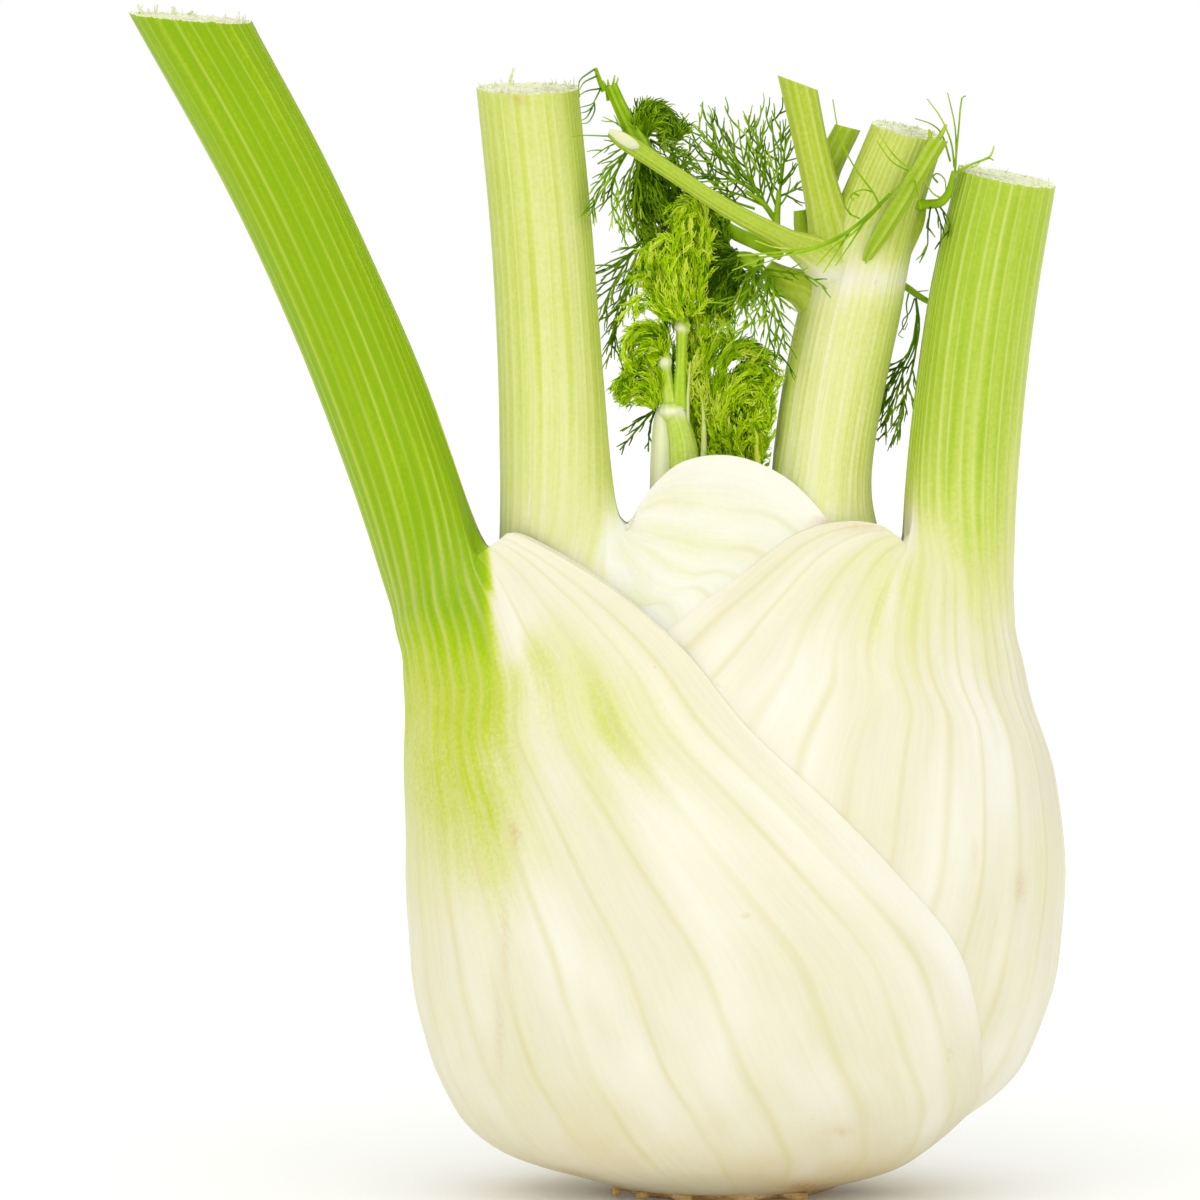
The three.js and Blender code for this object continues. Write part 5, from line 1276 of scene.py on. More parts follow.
# A dark core body behind the spray: painted shade.
spray_shade_core = shade_core_mesh([[-3.4, 4.4, 118, 0.5], [-4, 4.3, 122, 0.8], [-4.2, 4.1, 127, 1.1],
                        [-4.3, 3.9, 133, 1.2], [-4, 3.8, 138.6, 1.2], [-3, 3.5, 143.4, 1],
                        [-2.2, 3, 145.6, 0.5]], 0.6, spray_random)
grow_frond("young_spray", "frond_heart_spray", young_skin, spray_threads, [spray_shade_core])


# ----------------------------------------
# Young mass at the right of the heart: soft threads still folded into locks, packed against the stalk that
# they grew beside, with a pale stem showing.

mass_random = np.random.default_rng(41)
mass_threads = []
add_locks(mass_threads, mass_random, 0.22, 0.8, [
    # The long fold that arches right over the top, and the one inside it.
    ([[-1.4, 0.6, 126], [-2.4, 0.4, 131.4], [-1.8, 0.2, 137], [0.2, -0.2, 141.4], [3.2, -0.4, 142.6],
      [6, -0.4, 140.6], [7.8, -0.4, 137]], 1.2, 66, 0.45),
    ([[-0.6, -0.6, 131], [0.4, -1.2, 136], [2.6, -1.6, 139.4], [5, -1.4, 139.2], [6.8, -1.2, 137]],
     1.5, 48, 0.4),
    # The wave that turns over in front.
    ([[-1.6, -1.6, 127.4], [-0.8, -2.4, 131.6], [1, -3, 135], [3.6, -3.2, 136.4], [5.4, -2.8, 135.4],
      [5.6, -2.4, 133.6]], 1.5, 60, 0.65),
    # The column at the right and the growth at the foot.
    ([[4.6, -1.8, 122.6], [5.8, -2.6, 126.6], [6.8, -2.8, 130.8], [6.2, -2.6, 134.4], [7.4, -2, 137],
      [8.4, -1.6, 138]], 1.3, 50, 0.5),
    ([[1.6, -1.4, 122.6], [-0.2, -2, 125.4], [-1.4, -2.2, 129], [-2.2, -1.8, 132]], 1.3, 34, 0.5),
    ([[2.4, -2, 122.6], [2, -2.8, 126.4], [3, -3.4, 129.4], [4.6, -3.2, 130.4], [5.2, -2.8, 128.8]],
     1.3, 38, 0.55),
    ([[4, -1.6, 121.6], [5.4, -2.2, 124], [6.2, -2.2, 126]], 1.1, 18, 0.45),
    ([[4, -1.4, 125], [2.4, -2.4, 129.6], [2, -2.6, 133], [3.4, -2.4, 136]], 1.8, 44, 0.4),
    ([[-3.6, -0.4, 120.6], [-2.6, -1.2, 124.4], [-0.4, -1.8, 127]], 1.4, 26, 0.5),
    # The wide lock at the back takes a darker tone: painted shade behind the others.
    ([[2.6, 1, 124], [1.6, 1, 131], [2.4, 1, 137], [5, 1, 139]], 2.4, 34, 0.25),
])
MASS_PINNA = dict(PINNA, every=1.2, length=2.4, angle=46)
add_sprays(mass_threads, mass_random, 0.32, [MASS_PINNA, LEAFLET], 0.5, [
    [[3, 0, 121], [4.6, -1.6, 125], [6.4, -2.6, 129.6], [7.6, -2.2, 134.6]],
    [[2.6, 0, 121], [1, -1.4, 126], [-1, -1.6, 130], [-1.4, -1.4, 134.6], [0, -1.2, 138.4]],
    [[2.8, -0.4, 122], [4, -2.6, 126.6], [4.6, -3.4, 130], [5.4, -3.2, 133]],
    [[-1, 1.4, 124], [-2.2, 1.6, 129], [-2.2, 1.6, 134], [-1.4, 1.4, 138.6]],
])
# The stalk at the right holds the mass back along its slanting side.
for path, _, _ in mass_threads:
    path[:, 0] = np.minimum(path[:, 0], 7.3 + 0.18 * (path[:, 2] - 125))
mass_bodies = [
    frond_stem([[5.4, -2, 121, 0.6], [5, -2.9, 124.6, 0.5], [4.8, -3.3, 128, 0.4], [5, -3.6, 130.4, 0.1]], 1),
    # Two dark core bodies inside the mass: painted shade.
    shade_core_mesh([[2.5, 0.8, 119, 0.8], [2.6, 0.8, 121.6, 1.8], [2.6, 0.8, 126, 2.6], [2.8, 0.8, 131.4, 3.2],
               [3.2, 0.8, 136.4, 3], [3.2, 0.8, 139.2, 1.8], [3, 0.8, 140.4, 0.6]], 0.6, mass_random),
    shade_core_mesh([[-1.8, 1.4, 118, 1], [-1.8, 1.4, 123, 2], [-1.4, 1.4, 130, 2.2], [-0.8, 1.4, 136, 1.4],
               [-0.6, 1.4, 138, 0.4]], 0.5, mass_random),
]
grow_frond("young_mass", "frond_heart_right", young_skin, mass_threads, mass_bodies)


# ----------------------------------------
# Small dark frond that hangs out at the left behind the shoot's sheath: older leaf, opened out into separate
# dark green threads, grown from a stem that is hidden.

dark_skin = frond_skin("dark_frond_threads", [(0.0, "#365A02"), (0.35, "#6C9606"), (0.7, "#98BC18"),
                                              (1.0, "#C2DA54")])
OPEN_SIDE = {"every": 1.2, "angle": 26, "length": 6, "taper": 0.4, "curl": 0.35, "radius": 0.24, "roll": 0.5,
             "points": 5}
OPEN_TIP = {"every": 1.7, "angle": 24, "length": 3.2, "taper": 0.4, "curl": 0.3, "radius": 0.2, "roll": 0.6,
            "span": (0.25, 0.85)}
left_random = np.random.default_rng(25)
left_threads = []
for path, radius, side, tone in [
    ([[-11.6, 4.2, 132.6], [-13.4, 4.1, 130.6], [-18, 4, 125.2]],
     0.34, {"every": 1.4, "length": 3.2, "angle": 28}, 0.3),
    ([[-11.8, 4.2, 132], [-14, 3.9, 130.8], [-17.6, 3.6, 128.4]],
     0.3, {"every": 2, "length": 2.4, "angle": 26}, 0.3),
    ([[-12, 4.4, 132], [-12.9, 4.2, 129], [-13.2, 4, 125]],
     0.3, {"every": 1, "length": 1.6, "angle": 30}, 0.2),
]:
    feathered(left_threads, left_random, smooth_path(path, 7), radius, [dict(OPEN_SIDE, **side)], tone)
grow_frond("dark_frond_heart_left", "frond_heart_left", dark_skin, left_threads)


# ----------------------------------------
# Dark frond at the end of the diagonal stem: a torn branch, a curled head like a fern's, and sprays that
# hang down behind the stem. All of it grew there, and only the branch's end was torn off.

DARK_FRIZZ = dict(FRIZZ, every=0.8, angle=34, length=2.2, curl=0.7, radius=0.18)
diagonal_random = np.random.default_rng(52)
diagonal_threads = []
OPEN = [OPEN_SIDE, OPEN_TIP]
for stem_path, radius, levels in [
    # Hanging sprays at the left of the stem's end.
    ([[-16, -1.2, 176.6], [-18.6, -3, 172], [-19.4, -4.6, 167.6], [-18.6, -5, 163.6]], 0.3, OPEN),
    ([[-15.6, -1.2, 177], [-19.6, -4, 172.4], [-21.6, -6, 168.8], [-22.8, -7, 165.8]], 0.26, OPEN),
    ([[-15, -1, 175.6], [-16.8, -0.8, 170], [-17.2, -0.4, 166], [-16.4, 0.4, 162]], 0.28, OPEN),
    ([[-14.4, -1, 175], [-15.2, 0, 169.6], [-14.6, 0.6, 164.6]], 0.28, OPEN),
    # Threads that leave the cut end to the left, one of them over the next stalk.
    ([[-16.6, -1.6, 178], [-20.4, -5.6, 178.2], [-24, -8.8, 178.4], [-26, -9.6, 178.2]], 0.22, []),
    ([[-16.6, -1.6, 177.6], [-20, -4.4, 176.4], [-22.6, -5.8, 174.6]], 0.22, [OPEN_TIP]),
    ([[-16.4, -1.6, 177], [-19.6, -4, 174.8], [-21.8, -5.2, 173.6]], 0.22, [OPEN_TIP]),
    ([[-17, -1.8, 179], [-18.8, -4, 180.4], [-20.8, -5, 181.4]], 0.2, [OPEN_TIP]),
    ([[-11, 0.4, 172.6], [-9.2, 0.8, 175.6], [-7.8, 1, 179.6]], 0.26, [dict(OPEN_SIDE, length=4)]),
    ([[-9, 0.8, 171], [-7, 1, 174.2], [-5.6, 1.2, 177.6]], 0.26, [dict(OPEN_SIDE, length=4)]),
    # The frond that hangs down at the left.
    ([[-12.6, 5.6, 163], [-16, 6.6, 158], [-19.6, 6.8, 152], [-21, 6.8, 147]], 0.3, OPEN),
    ([[-13, 6, 160], [-15.6, 6.8, 154], [-18, 6.8, 148], [-19.2, 6.6, 143.6]], 0.3, OPEN),
    ([[-12.4, 5.4, 164], [-14.6, 6.6, 157.6], [-17.2, 6.6, 151.6], [-19, 6.6, 146], [-19.4, 6.4, 140.6]],
     0.36, [dict(OPEN_SIDE, angle=30, length=5, droop=0.4), OPEN_TIP]),
    ([[-13.6, 6.4, 160.6], [-17, 7, 157.6], [-21, 7.2, 155.2]], 0.26, [OPEN_SIDE]),
]:
    feathered(diagonal_threads, diagonal_random, smooth_path(stem_path, 9), radius, levels, 0.45)
# Loops on the thin torn tip.
for loop in [
    [[-22.2, -2, 189.3], [-24.4, -5, 187.8], [-24.9, -8, 186.5], [-24.7, -9.6, 184.8]],
    [[-21.8, -2, 188.2], [-23.9, -5, 187.2], [-24.7, -8.6, 186]],
    [[-21.3, -1.8, 186.1], [-23.4, -5, 185.8], [-24.7, -9, 185.1]],
    [[-21.2, -1.8, 186], [-22, -4, 184.5], [-22.6, -6, 183.6], [-24.6, -9.4, 183.1]],
    [[-22.3, -5, 183.9], [-22.2, -6.4, 182.4], [-23.2, -8, 180.6], [-24.3, -9.4, 180.4]],
    [[-22.2, -5, 183.5], [-23.4, -7.4, 182.4], [-24.6, -9.2, 182.1]],
    [[-22.6, -6, 182.9], [-23.5, -7.8, 181.4], [-24.4, -9.2, 180.9]],
]:
    diagonal_threads.append((smooth_path(loop, 8), 0.2, 0.3))
# The curled head: close leaflets that follow the curl round and over.
HEAD_PINNA = dict(PINNA, every=0.9, length=3, angle=50, curl=0.9, radius=0.22)
HEAD_LEAFLET = dict(LEAFLET, every=0.8, curl=0.9, angle=40, radius=0.18)
add_locks(diagonal_threads, diagonal_random, 0.3, 0.6, [
    ([[-14.4, -1, 177.6], [-15.2, -1.4, 180.2], [-13.9, -1.8, 182.4], [-11.8, -2, 182.8], [-9.8, -1.8, 181.4],
      [-9.2, -1.6, 179.2]], 1, 52, 0.45),
    ([[-13.8, -1.2, 177.4], [-13.4, -2, 180], [-12, -2.4, 180.8], [-10.6, -2.2, 179.6], [-10.4, -2, 178]],
     0.9, 36, 0.4),
    ([[-13, -0.8, 177.6], [-11, -1.2, 177.4], [-9, -1.2, 178], [-7.8, -1, 179.6]], 0.9, 22, 0.4),
    # Strands that run down behind the stem.
    ([[-14.6, 0.6, 175], [-13, 1.4, 170], [-10.6, 1.8, 166], [-8, 2, 162]], 2, 44, 0.3),
    ([[-11.6, 1, 173.6], [-8, 1.6, 169.6], [-4.6, 2, 166], [-1.6, 2.2, 162.6]], 1.7, 40, 0.25),
    ([[-14.4, 0.8, 174], [-14.6, 1.4, 169], [-14.2, 1.8, 165], [-13, 2, 161]], 1.5, 30, 0.35),
], DARK_FRIZZ)
add_sprays(diagonal_threads, diagonal_random, 0.3, [HEAD_PINNA, HEAD_LEAFLET], 0.4, [
    [[-14.8, -0.8, 178.6], [-14.6, -1, 181.4], [-12.8, -1.2, 182.6], [-10.6, -1.2, 182], [-9.6, -1, 180]],
    [[-14.4, 0, 179], [-13.6, 1.2, 181.4], [-12, 1.4, 182.2], [-10.4, 1.2, 181]],
    [[-14.2, -0.6, 178.6], [-12.8, -2.4, 180.4], [-11.4, -2.6, 180.8], [-10.2, -2.2, 179.4]],
    [[-13, -0.6, 178.4], [-10.6, -0.6, 178.2], [-8.6, -0.4, 179], [-7.4, -0.2, 180.2]],
    [[-13, -0.4, 177.6], [-10, 0.2, 176], [-7.6, 0.6, 174], [-6, 0.8, 172.4]],
    [[-13, -0.2, 176.6], [-11.2, 0.6, 174.4], [-9.4, 1.2, 172.6]],
])
# The thick growth under the stem.
THICK_PINNA = dict(HEAD_PINNA, every=1.0, length=3.4)
add_sprays(diagonal_threads, diagonal_random, 0.34, [THICK_PINNA, HEAD_LEAFLET], 0.3, [
    [[-13.6, 0.6, 174], [-12.4, 2.4, 169.6], [-11.4, 2.6, 165.4], [-10.4, 2.6, 162]],
    [[-12, 1, 173], [-9.6, 2.6, 169], [-8, 2.6, 165.4]],
    [[-13, 1.4, 173], [-14.4, 2.4, 168.6], [-14.4, 2.6, 164.6]],
    [[-10, 1, 172.4], [-6.6, 2.4, 169.4], [-4.6, 2.4, 166.4]],
])
# Splinters on the torn end of the branch.
for foot, tip in [((-19.3, 186.4), (-18.9, 188.3)), ((-20, 186.6), (-20.1, 187.6)),
                  ((-18.9, 186.2), (-18.3, 187.9)), ((-20.4, 186.4), (-20.9, 187.4))]:
    splinter = np.array([[foot[0] + 0.3, -1.2, foot[1] - 2.4], [foot[0], -1.2, foot[1]],
                         [(foot[0] + tip[0]) / 2, -1.4, (foot[1] + tip[1]) / 2], [tip[0], -1.5, tip[1]]])
    diagonal_threads.append((splinter, 0.36, 0.75))
diagonal_bodies = [
    frond_stem([[-13, -1.2, 174.6, 1.1], [-15, -1.2, 177.2, 1.9], [-16.2, -1.2, 179.4, 1.6],
                [-17.8, -1.2, 182.6, 1.25], [-19.6, -1.2, 186.6, 1.15]], 0.62, ribs=7),
    frond_stem([[-20.7, -1.4, 185.6, 0.45], [-21.4, -1.6, 187.4, 0.42], [-22.1, -2, 189.5, 0.3]], 0.6, 8),
    frond_stem([[-15.6, -1.2, 178.4, 1], [-14.2, -1, 180, 1.1], [-12.8, -0.8, 181.6, 0.8]], 0.6),
    frond_stem([[-14.2, 4, 174, 0.8], [-13.2, 5.4, 168, 1], [-12.8, 6.4, 161, 0.9], [-13, 6.8, 157, 0.3]],
               0.7),
    # Dark core bodies inside the curled head and in the growth under the stem: painted shade.
    shade_core_mesh([[-13.4, 0, 179.4, 0.5], [-12.8, 0, 180.6, 1.2], [-11.6, 0, 181.4, 1.1],
               [-10.6, 0, 181.4, 0.5]], 0.8, diagonal_random, 14),
    shade_core_mesh([[-12.4, 4, 173, 0.5], [-12, 4.6, 171, 1.4], [-11.4, 5, 167.4, 1.8], [-11.6, 5.6, 164, 0.8]],
              0.4, diagonal_random, 14),
]
grow_frond("dark_frond_diagonal", "frond_diagonal_stem", dark_skin, diagonal_threads,
           diagonal_bodies)


# ----------------------------------------
# Dark frond that runs back under the diagonal stem, where it branched off: thick near its root, with long
# sparse ends below that hang by their own weight.

under_random = np.random.default_rng(72)
under_threads = []
LONG_SIDE = dict(OPEN_SIDE, every=1.5, length=6.4, angle=30, curl=0.2, droop=0.1, radius=0.23)
LONG_TIP = dict(OPEN_TIP, every=2.6, length=2.8)
LONG, CLOSE = [LONG_SIDE, LONG_TIP], [HEAD_PINNA, HEAD_LEAFLET]
for stem_path, levels in [
    ([[5, 0.6, 157.4], [7.4, -5, 154.6], [7.6, -8.6, 150], [8.2, -9.4, 145], [8.8, -9.6, 140.4]], LONG),
    ([[5, 0.6, 157.4], [6.6, -5, 153.6], [5.2, -8, 149.6], [3.4, -8.2, 146.6], [1.4, -7.6, 145.4]], LONG),
    ([[4.6, 1, 157.2], [4.2, -3.4, 153.6], [2.2, -5, 151.6], [-1.6, -5, 149.6]], [LONG_SIDE]),
    ([[6.8, -5.6, 153.6], [8.6, -8.6, 151.4], [10.4, -9.4, 149.6]], [dict(LONG_SIDE, length=3)]),
    ([[4, 1.6, 156.8], [6, -5, 150.4], [7, -8.4, 144.8], [6.4, -8.6, 141.6]], LONG),
    ([[0, 3.4, 158], [-2.6, 2.6, 154], [-3.2, 1.6, 150]], CLOSE),
    ([[1.4, 3, 158], [0.6, 1.6, 154], [-0.6, 0.8, 150]], CLOSE),
    ([[2.4, 2.6, 157.6], [2, 0.6, 154], [1.6, 0, 151]], [dict(HEAD_PINNA, every=1.1), HEAD_LEAFLET]),
    ([[0, 3, 158], [-2.6, 1.8, 159.6], [-4, 1.4, 162]], CLOSE),
    ([[0.6, 2.6, 159], [-0.6, 1.6, 161.4], [-0.6, 1.8, 164.4]], [dict(HEAD_PINNA, every=1.1), HEAD_LEAFLET]),
    ([[-1.6, 3.8, 164.6], [0, 4.4, 167.4], [1.6, 4.8, 169.6]], [OPEN_SIDE]),
    ([[5, 1, 157.2], [3.6, -2, 154.6], [3, -4, 151], [3.4, -5, 146.6]], LONG),
    ([[2, 2.4, 157.6], [3, 1.6, 153.6], [2.4, 1, 149.6]], [dict(HEAD_PINNA, every=1.2), HEAD_LEAFLET]),
    ([[3.4, 2.4, 157.6], [4.6, 1.4, 154.6], [4.4, 0.6, 151.6]], [dict(HEAD_PINNA, every=1.4), HEAD_LEAFLET]),
    ([[-1.6, 3.4, 157], [-4.4, 2.8, 155], [-5.6, 2.4, 151.6]], CLOSE),
    ([[6.4, -3, 156], [10, -7, 155.6], [13.4, -9.4, 155], [16.4, -10.6, 153]], [dict(LONG_SIDE, length=3.6)]),
    ([[5, 0.6, 157.4], [7, -4, 152.6], [9, -7, 147], [9.6, -8, 142.6]], [LONG_SIDE]),
    ([[4, 0.6, 157], [2.6, -4, 151.6], [0.6, -6, 147.6], [0, -6.4, 145]], [LONG_SIDE]),
]:
    feathered(under_threads, under_random, smooth_path(stem_path, 9), 0.3, levels, 0.42)
add_locks(under_threads, under_random, 0.34, 0.7, [
    ([[2, 1.4, 158.6], [-1, 0.8, 157], [-3, 0.4, 153.6], [-3.2, 0.2, 149.6]], 1.6, 46, 0.2),
    ([[3, 1.4, 158], [1, 0.6, 155], [-0.4, 0, 151.6], [-0.8, -0.2, 148]], 1.5, 42, 0.2),
    ([[1.4, 1.6, 159.4], [-2, 1.2, 160.6], [-4, 1, 158.4], [-4.4, 0.8, 155]], 1.3, 30, 0.3),
], DARK_FRIZZ)
under_bodies = [
    frond_stem([[9, -1.4, 158.4, 1.1], [5, 0.2, 160.2, 1.2], [0, 3, 162.6, 1.1], [-3, 4.2, 166.4, 0.6]],
               0.65),
    frond_stem([[5.4, 0.6, 156.4, 1.5], [3, 1.8, 157.4, 1.4], [0, 3.4, 157.4, 0.8], [-1.6, 3.8, 156, 0.3]],
               0.75),
    # A dark core body behind the close sprays: painted shade.
    shade_core_mesh([[-3, 5.2, 149, 0.5], [-1.8, 5, 151.6, 1.4], [-1.2, 4.9, 155.4, 1.9], [-0.8, 4.7, 159.6, 1.4],
               [-1, 4, 162.4, 0.5]], 0.5, under_random, 14),
]
grow_frond("dark_frond_under_stem", "frond_under_stem", dark_skin, under_threads, under_bodies)


# ----------------------------------------
# Open dark fan that stands up behind the diagonal stem on a thin stem of its own: full-grown threads, forked
# again and again, with space between.

fan_random = np.random.default_rng(91)
fan_threads = []
FAN_SIDE = {"every": 1.9, "angle": 38, "length": 7.4, "taper": 0.45, "curl": 0.7, "radius": 0.25, "roll": 0.5,
            "points": 6}
FAN_TIP = {"every": 2.3, "angle": 26, "length": 4, "taper": 0.3, "curl": 0.5, "radius": 0.21, "roll": 0.6,
           "span": (0.25, 0.85)}
add_sprays(fan_threads, fan_random, 0.3, [FAN_SIDE, FAN_TIP], 0.42, [
    [[8.3, 2.4, 163], [8.7, 2.4, 168], [9, 2.6, 174], [8.8, 2.8, 180.6]],
    [[8.6, 2.4, 167.6], [9.4, 3.6, 173], [9.8, 4.4, 178.6]],
    [[8.4, 2.4, 165.6], [6.6, 2.6, 170.6], [5.2, 3, 176], [4.5, 3, 181.4]],
    [[7.4, 2.4, 164.4], [5, 2.4, 168.4], [2.6, 2.8, 174.4], [1.8, 3, 180.8]],
    [[5.2, 2.4, 168], [2, 2.8, 173], [-0.6, 3, 177], [-0.6, 3, 180.6]],
    [[4.6, 2.4, 168.4], [0.6, 2.8, 171.8], [-1.6, 3, 176], [-2.8, 3, 180.6]],
    [[4.4, 2.2, 169], [1.2, 2.2, 170.6], [-1.8, 2.4, 172.6], [-5.8, 2.6, 177]],
    [[0.6, 2.6, 171.6], [-2.4, 3, 176.4], [-5.8, 3, 179.8]],
    [[4.6, 2.2, 168.8], [1.6, 2, 170.4], [-2.6, 2, 170]],
    [[8.6, 2.4, 168], [10.4, 4.6, 168.6], [13, 7, 169.6]],
    [[8.6, 2.4, 170], [7.8, 3.4, 176], [7.4, 3.8, 181.4]],
    [[6, 2.4, 166.4], [2, 2.8, 168.2], [-2, 3, 169.6], [-5, 3, 173]],
    [[4.6, 2.4, 165.8], [0.4, 3.2, 167.4], [-2.6, 3.4, 170.8], [-3.8, 3.4, 175]],
    [[6.6, 2.4, 166], [4.4, 3.4, 170], [3.6, 3.8, 175], [4, 3.8, 179]],
    [[8, 2.4, 164], [6, 3.2, 167.4], [5.4, 3.8, 172], [6.4, 4, 178]],
], 10)
fan_bodies = [
    frond_stem([[8.3, 2.9, 158.6, 0.7], [8.4, 2.3, 161, 0.7], [8.3, 2.4, 164, 0.6], [8.7, 2.4, 169, 0.4]],
               0.7, 8),
    frond_stem([[8.3, 2.4, 163.6, 0.5], [6, 2.4, 166.8, 0.45], [3, 2.4, 168.8, 0.35]], 0.6, 8),
]
grow_frond("dark_frond_fan", "frond_open_fan", dark_skin, fan_threads, fan_bodies)


# ----------------------------------------
# Thread-like frond that comes round in front of the joint and droops to the left: long, nearly bare dark
# threads that grew from the branch behind.


def add_strands(out, random, strands):
    """Adds long bare threads, each (path, radius), of nearly one tone."""
    for path, radius in strands:
        out.append((smooth_path(path, 12), radius, 0.6 + random.normal(0, 0.1)))


node_random = np.random.default_rng(111)
node_threads = []
add_strands(node_threads, node_random, [
    ([[27, -9, 168.6], [22.5, -10, 164.4], [18, -10.4, 161.4], [12, -10.2, 159.4], [1.5, -9.4, 158.4]], 0.42),
    ([[26.4, -9.2, 168], [21.6, -10.3, 163.6], [17, -10.6, 160.6], [11.4, -10.4, 158.8], [5, -9.8, 158.2]],
     0.34),
    ([[25.4, -9.4, 166.8], [21, -10.6, 162.4], [17.6, -10.8, 160], [14.6, -10.8, 156.8]], 0.28),
    ([[23, -10, 164.6], [20.4, -10.6, 160.6], [17.8, -10.8, 156.8]], 0.24),
    ([[20.4, -10.2, 162.8], [18, -10.7, 159], [15.8, -10.8, 155.6]], 0.24),
    ([[12.6, -10, 159.6], [8, -10.2, 159.8], [4.4, -10.4, 161]], 0.2),
    ([[11, -10, 159.2], [7, -10.2, 157.6], [4, -10.4, 156.6]], 0.2),
    ([[8, -9.9, 158.8], [4, -10.2, 157.4], [0.6, -10.3, 156]], 0.19),
    ([[25, -9.6, 166.8], [24, -9.9, 169], [21, -9.8, 173], [18.5, -9.5, 178], [17.3, -9.2, 184.4]], 0.26),
    ([[24, -9.8, 169], [22.4, -10.3, 169.4], [20.6, -10.4, 168.8], [20, -10.5, 167.8]], 0.2),
    ([[21.8, -10.2, 164.6], [20, -10.6, 165.6], [20.4, -10.7, 167.6], [21.6, -10.6, 168.2]], 0.22),
    ([[20.4, -10.5, 165.2], [19.4, -10.8, 166.6], [19.4, -10.7, 168]], 0.2),
    ([[21.6, -10.5, 168.4], [20.8, -10.8, 168.8], [20.4, -10.7, 168.2], [21, -10.5, 167.6]], 0.26),
    ([[30.4, -9.9, 172.6], [27.4, -9.9, 175.2], [24.4, -9.9, 179.6]], 0.22),
    ([[30, -9.9, 172.4], [27, -9.9, 174.2], [24.6, -9.9, 177.6]], 0.2),
    ([[26.8, -9, 168.4], [28.8, -9.6, 170.6], [30.4, -9.9, 172.6]], 0.26),
])
grow_frond("frond_over_joint", "frond_over_node", dark_skin, node_threads)


# ----------------------------------------
# Dark frond that curls up from the right side of the joint towards the right stalk: one bent stem with long
# bare threads above and short tufts below.

tip_random = np.random.default_rng(121)
tip_threads = []
add_strands(tip_threads, tip_random, [
    ([[36.6, -4.8, 168.4], [37.6, -4.8, 170.6], [37.9, -4.6, 174], [38.4, -4, 179], [38.9, -3.6, 184.2],
      [39.7, -3.6, 184.9]], 0.3),
    ([[37.7, -4.7, 171], [38, -4.4, 175], [37.8, -4, 180], [36.6, -3.6, 185.4]], 0.25),
    ([[37.7, -4.7, 173], [37.2, -4.4, 177], [35.6, -4, 181], [33.2, -3.6, 184.4]], 0.25),
    ([[37, -4.8, 174], [35.6, -6.4, 178.4], [33.8, -8, 180.2], [31, -9.6, 181.2]], 0.24),
    ([[37.4, -4.8, 171.9], [40.6, -5.4, 173.6], [43.5, -5.6, 174.8], [44.3, -5.6, 176.6]], 0.34),
    ([[42.8, -5.5, 174.5], [43.6, -5.6, 174.6], [44.3, -5.7, 174.2]], 0.28),
    ([[40.4, -5.4, 173], [41.4, -5.6, 173.4], [42.4, -5.7, 174.4]], 0.18),
    ([[35, -3.4, 170.4], [34.2, -3.8, 171.4], [35, -4.2, 172], [36.2, -4.4, 171], [36.4, -4.6, 169]], 0.24),
    ([[35.6, -3.8, 167.8], [34.2, -4, 168.6], [33.2, -4, 170.2], [32.6, -4, 172]], 0.22),
    ([[31, -9.4, 171], [31.8, -9.6, 167.4], [32, -9.6, 166.2]], 0.2),
])
add_sprays(tip_threads, tip_random, 0.22, [dict(OPEN_SIDE, every=2, length=3)], 0.1, [
    [[34.4, -3, 167.2], [35.6, -4.2, 163.4], [35.4, -4.8, 159.6]],
    [[34, -3, 167], [33.4, -5, 163], [33.2, -6, 159.6], [31.4, -6.2, 157.6]],
    [[35, -3.2, 167], [37, -4.4, 164], [36.6, -5, 161]],
], 8)
tip_bodies = [frond_stem([[30.5, -2, 166.6, 0.9], [33.6, -2.6, 166.8, 0.8], [35.6, -3.8, 167.2, 0.75],
                          [36.9, -4.8, 169, 0.65], [37.7, -4.8, 172.4, 0.4]], 0.65, 10)]
grow_frond("dark_frond_right_tip", "frond_right_tip", dark_skin, tip_threads, tip_bodies)


# ----------------------------------------
# Dark frond behind, hanging between the right inner and the right outer stalks: close dark sprays off a
# thin stem whose two ends are tucked behind the stalks.

back_random = np.random.default_rng(131)
back_threads = []
BACK_SIDE = dict(OPEN_SIDE, angle=24, length=4.6, every=1.5, span=(0.42, 1))
add_sprays(back_threads, back_random, 0.26, [BACK_SIDE, OPEN_TIP], 0.3, [
    [[31.8, 4.4, 150.8], [32, 4.8, 146], [30.2, 5, 140.6], [27.6, 5.2, 134], [26.6, 5.4, 127.6]],
    [[31.8, 4.4, 150.8], [32.4, 4.6, 146], [31.4, 5, 140], [29.8, 5.2, 133], [29, 5.4, 128]],
    [[32, 4.6, 148], [31.4, 5.2, 143], [28.4, 5.6, 138.6], [25.8, 5.8, 132.6]],
    [[32, 4.6, 147], [31.6, 5.4, 142.4], [29.4, 5.6, 137.4], [27.2, 5.8, 130]],
    [[32, 4.6, 146], [31.8, 5.4, 141.6], [30.6, 5.8, 136], [28.2, 5.8, 127.4]],
    [[32, 4.6, 147.4], [30.8, 5.4, 141.4], [27.4, 5.8, 136.4], [25.6, 5.8, 130.4]],
], 12)
for strand in [
    [[30.6, 5.2, 151.8], [32, 5.2, 151.9], [33.9, 5.2, 152.1]],
    [[30.6, 5.2, 151.6], [30.2, 5.2, 149.6], [30.4, 5.2, 147.4], [29.4, 5.2, 145.4], [28.9, 5.2, 144.6],
     [29.7, 5.2, 144.1]],
    [[31.6, 5, 150.8], [30.8, 5.2, 148.4], [29.6, 5.2, 147], [29.8, 5.2, 145.4], [30.4, 5.2, 146.6]],
]:
    back_threads.append((smooth_path(strand, 12), 0.18, 0.3))
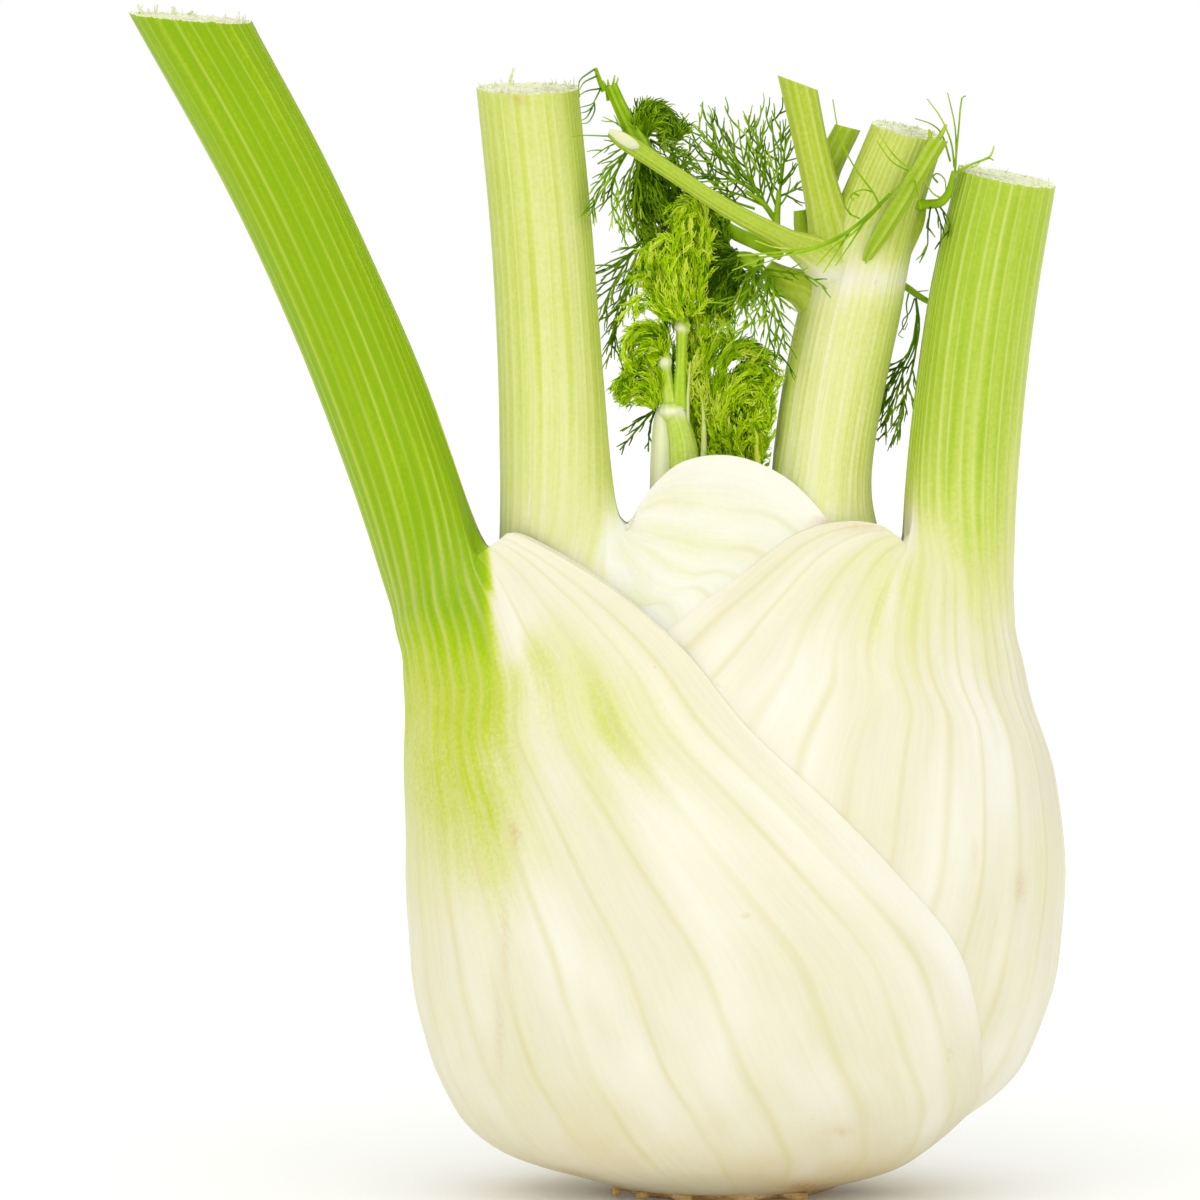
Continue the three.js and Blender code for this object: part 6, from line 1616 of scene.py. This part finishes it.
back_bodies = [frond_stem([[28, 7.7, 153.8, 0.6], [30.2, 5.4, 152.6, 0.6], [32.2, 4.6, 151.2, 0.55],
                           [34.4, 5.2, 149.9, 0.45], [36.2, 7.2, 149, 0.35]], 0.65, 8)]
grow_frond("dark_frond_back_right", "frond_back_right", dark_skin, back_threads, back_bodies)


# ----------------------------------------
# Stage: a sheet of pale paper, soft light from the room above and ahead and from a window-like panel at each
# side, and a long lens a little above the bulb.

FLOOR_HALF = 3000       # half the floor's side
floor = made_mesh("floor", [(-FLOOR_HALF, -FLOOR_HALF, 0), (FLOOR_HALF, -FLOOR_HALF, 0),
                            (FLOOR_HALF, FLOOR_HALF, 0), (-FLOOR_HALF, FLOOR_HALF, 0)], [(0, 1, 2, 3)])
floor_paper, floor_tree, floor_place = new_material("pale_floor")
# Plain matt paper, glowing with painted light: faint near the bulb, and far off as bright as the wall behind.
away = add_node(floor_tree, "VectorMath", {"operation": "LENGTH"}, {0: floor_place})
floor_glow = add_node(floor_tree, "MapRange", {"From Min": 0.04, "From Max": 0.2, "To Min": 0.04, "To Max": 0.12,
                                        "interpolation_type": "SMOOTHSTEP"}, {"Value": away.outputs[1]})
finish_material(floor_tree, {"Base Color": "#F4F4F2", "Roughness": 0.8, "Emission Color": (1, 1, 1, 1)},
                {"Emission Strength": floor_glow})
floor.data.materials.append(floor_paper)

SKY_SIDE = 0.22         # brightness of the room at the sides
SKY_ABOVE = 1.1         # added straight above
SKY_FRONT = 0.5         # added straight ahead of the bulb's face

world = bpy.data.worlds.new("studio")
bpy.context.scene.world = world
world.use_nodes = True
sky = world.node_tree
sky.nodes.clear()
direction = add_node(sky, "SeparateXYZ", links={0: add_node(sky, "TexCoord").outputs["Generated"]})
up = add_node(sky, "Math", {"operation": "MAXIMUM", 1: 0.0}, {0: direction.outputs["Z"]})
overhead = add_node(sky, "Math", {"operation": "MULTIPLY_ADD", 1: SKY_ABOVE, 2: SKY_SIDE}, {0: up})
ahead = add_node(sky, "MapRange", {"From Min": 0.0, "From Max": -1.0, "To Min": 0.0, "To Max": SKY_FRONT,
                                   "interpolation_type": "SMOOTHSTEP"}, {"Value": direction.outputs["Y"]})
behind = add_node(sky, "MapRange", {"From Min": 0.88, "From Max": 0.98, "To Min": 0.0,
                                    "To Max": 1.0 - SKY_SIDE, "interpolation_type": "SMOOTHSTEP"},
                  {"Value": direction.outputs["Y"]})
glow = overhead
for more in (ahead, behind):
    glow = add_node(sky, "Math", {"operation": "ADD"}, {0: glow, 1: more})
background = add_node(sky, "Background", {"Color": (1, 1, 1, 1)}, {"Strength": glow})
add_node(sky, "OutputWorld", links={"Surface": background})


def panel(name, place, target, size, power):
    """A soft rectangular light at a place, pointed at its target."""
    light = bpy.data.lights.new(name, "AREA")
    light.shape = "RECTANGLE"
    light.size, light.size_y = size
    light.energy = power
    lamp = bpy.data.objects.new(name, light)
    lamp.location = place
    direction = [t - p for t, p in zip(target, place)]
    lamp.rotation_euler = Vector(direction).to_track_quat("-Z", "Y").to_euler()
    bpy.context.collection.objects.link(lamp)


BULB_MIDDLE = (0, 0, 0.09)      # what the panels point at
PANEL_SIZE = (0.6, 0.6)
panel("left_panel", (-0.8, -1.0, 0.8), BULB_MIDDLE, PANEL_SIZE, 1.6)
panel("right_panel", (0.9, -1.0, 0.5), BULB_MIDDLE, PANEL_SIZE, 0.7)

RENDER_SIDE = 1200            # pixels along each side of the full render
MM_PER_PIXEL = 0.168          # real size of one of its pixels at the bulb's middle
AXIS_PIXEL = (727, 1195)      # where the middle of the resting face lies in it
ELEVATION = math.radians(4.5)   # how far above the bulb the lens looks down from
LENS, SENSOR = 250.0, 36.0      # its focal length and the width of its sensor, both in mm
aim_x = (RENDER_SIDE / 2 - AXIS_PIXEL[0]) * MM_PER_PIXEL * MM
aim_z = (AXIS_PIXEL[1] - RENDER_SIDE / 2) * MM_PER_PIXEL * MM / math.cos(ELEVATION)
distance = RENDER_SIDE * MM_PER_PIXEL * MM * LENS / SENSOR
lens = bpy.data.cameras.new("camera")
lens.lens, lens.sensor_width = LENS, SENSOR
lens.clip_end = 20
camera = bpy.data.objects.new("camera", lens)
camera.location = (aim_x, -distance * math.cos(ELEVATION), aim_z + distance * math.sin(ELEVATION))
camera.rotation_euler = (math.pi / 2 - ELEVATION, 0, 0)
bpy.context.collection.objects.link(camera)
bpy.context.scene.camera = camera
bpy.context.scene.view_settings.view_transform = "Standard"
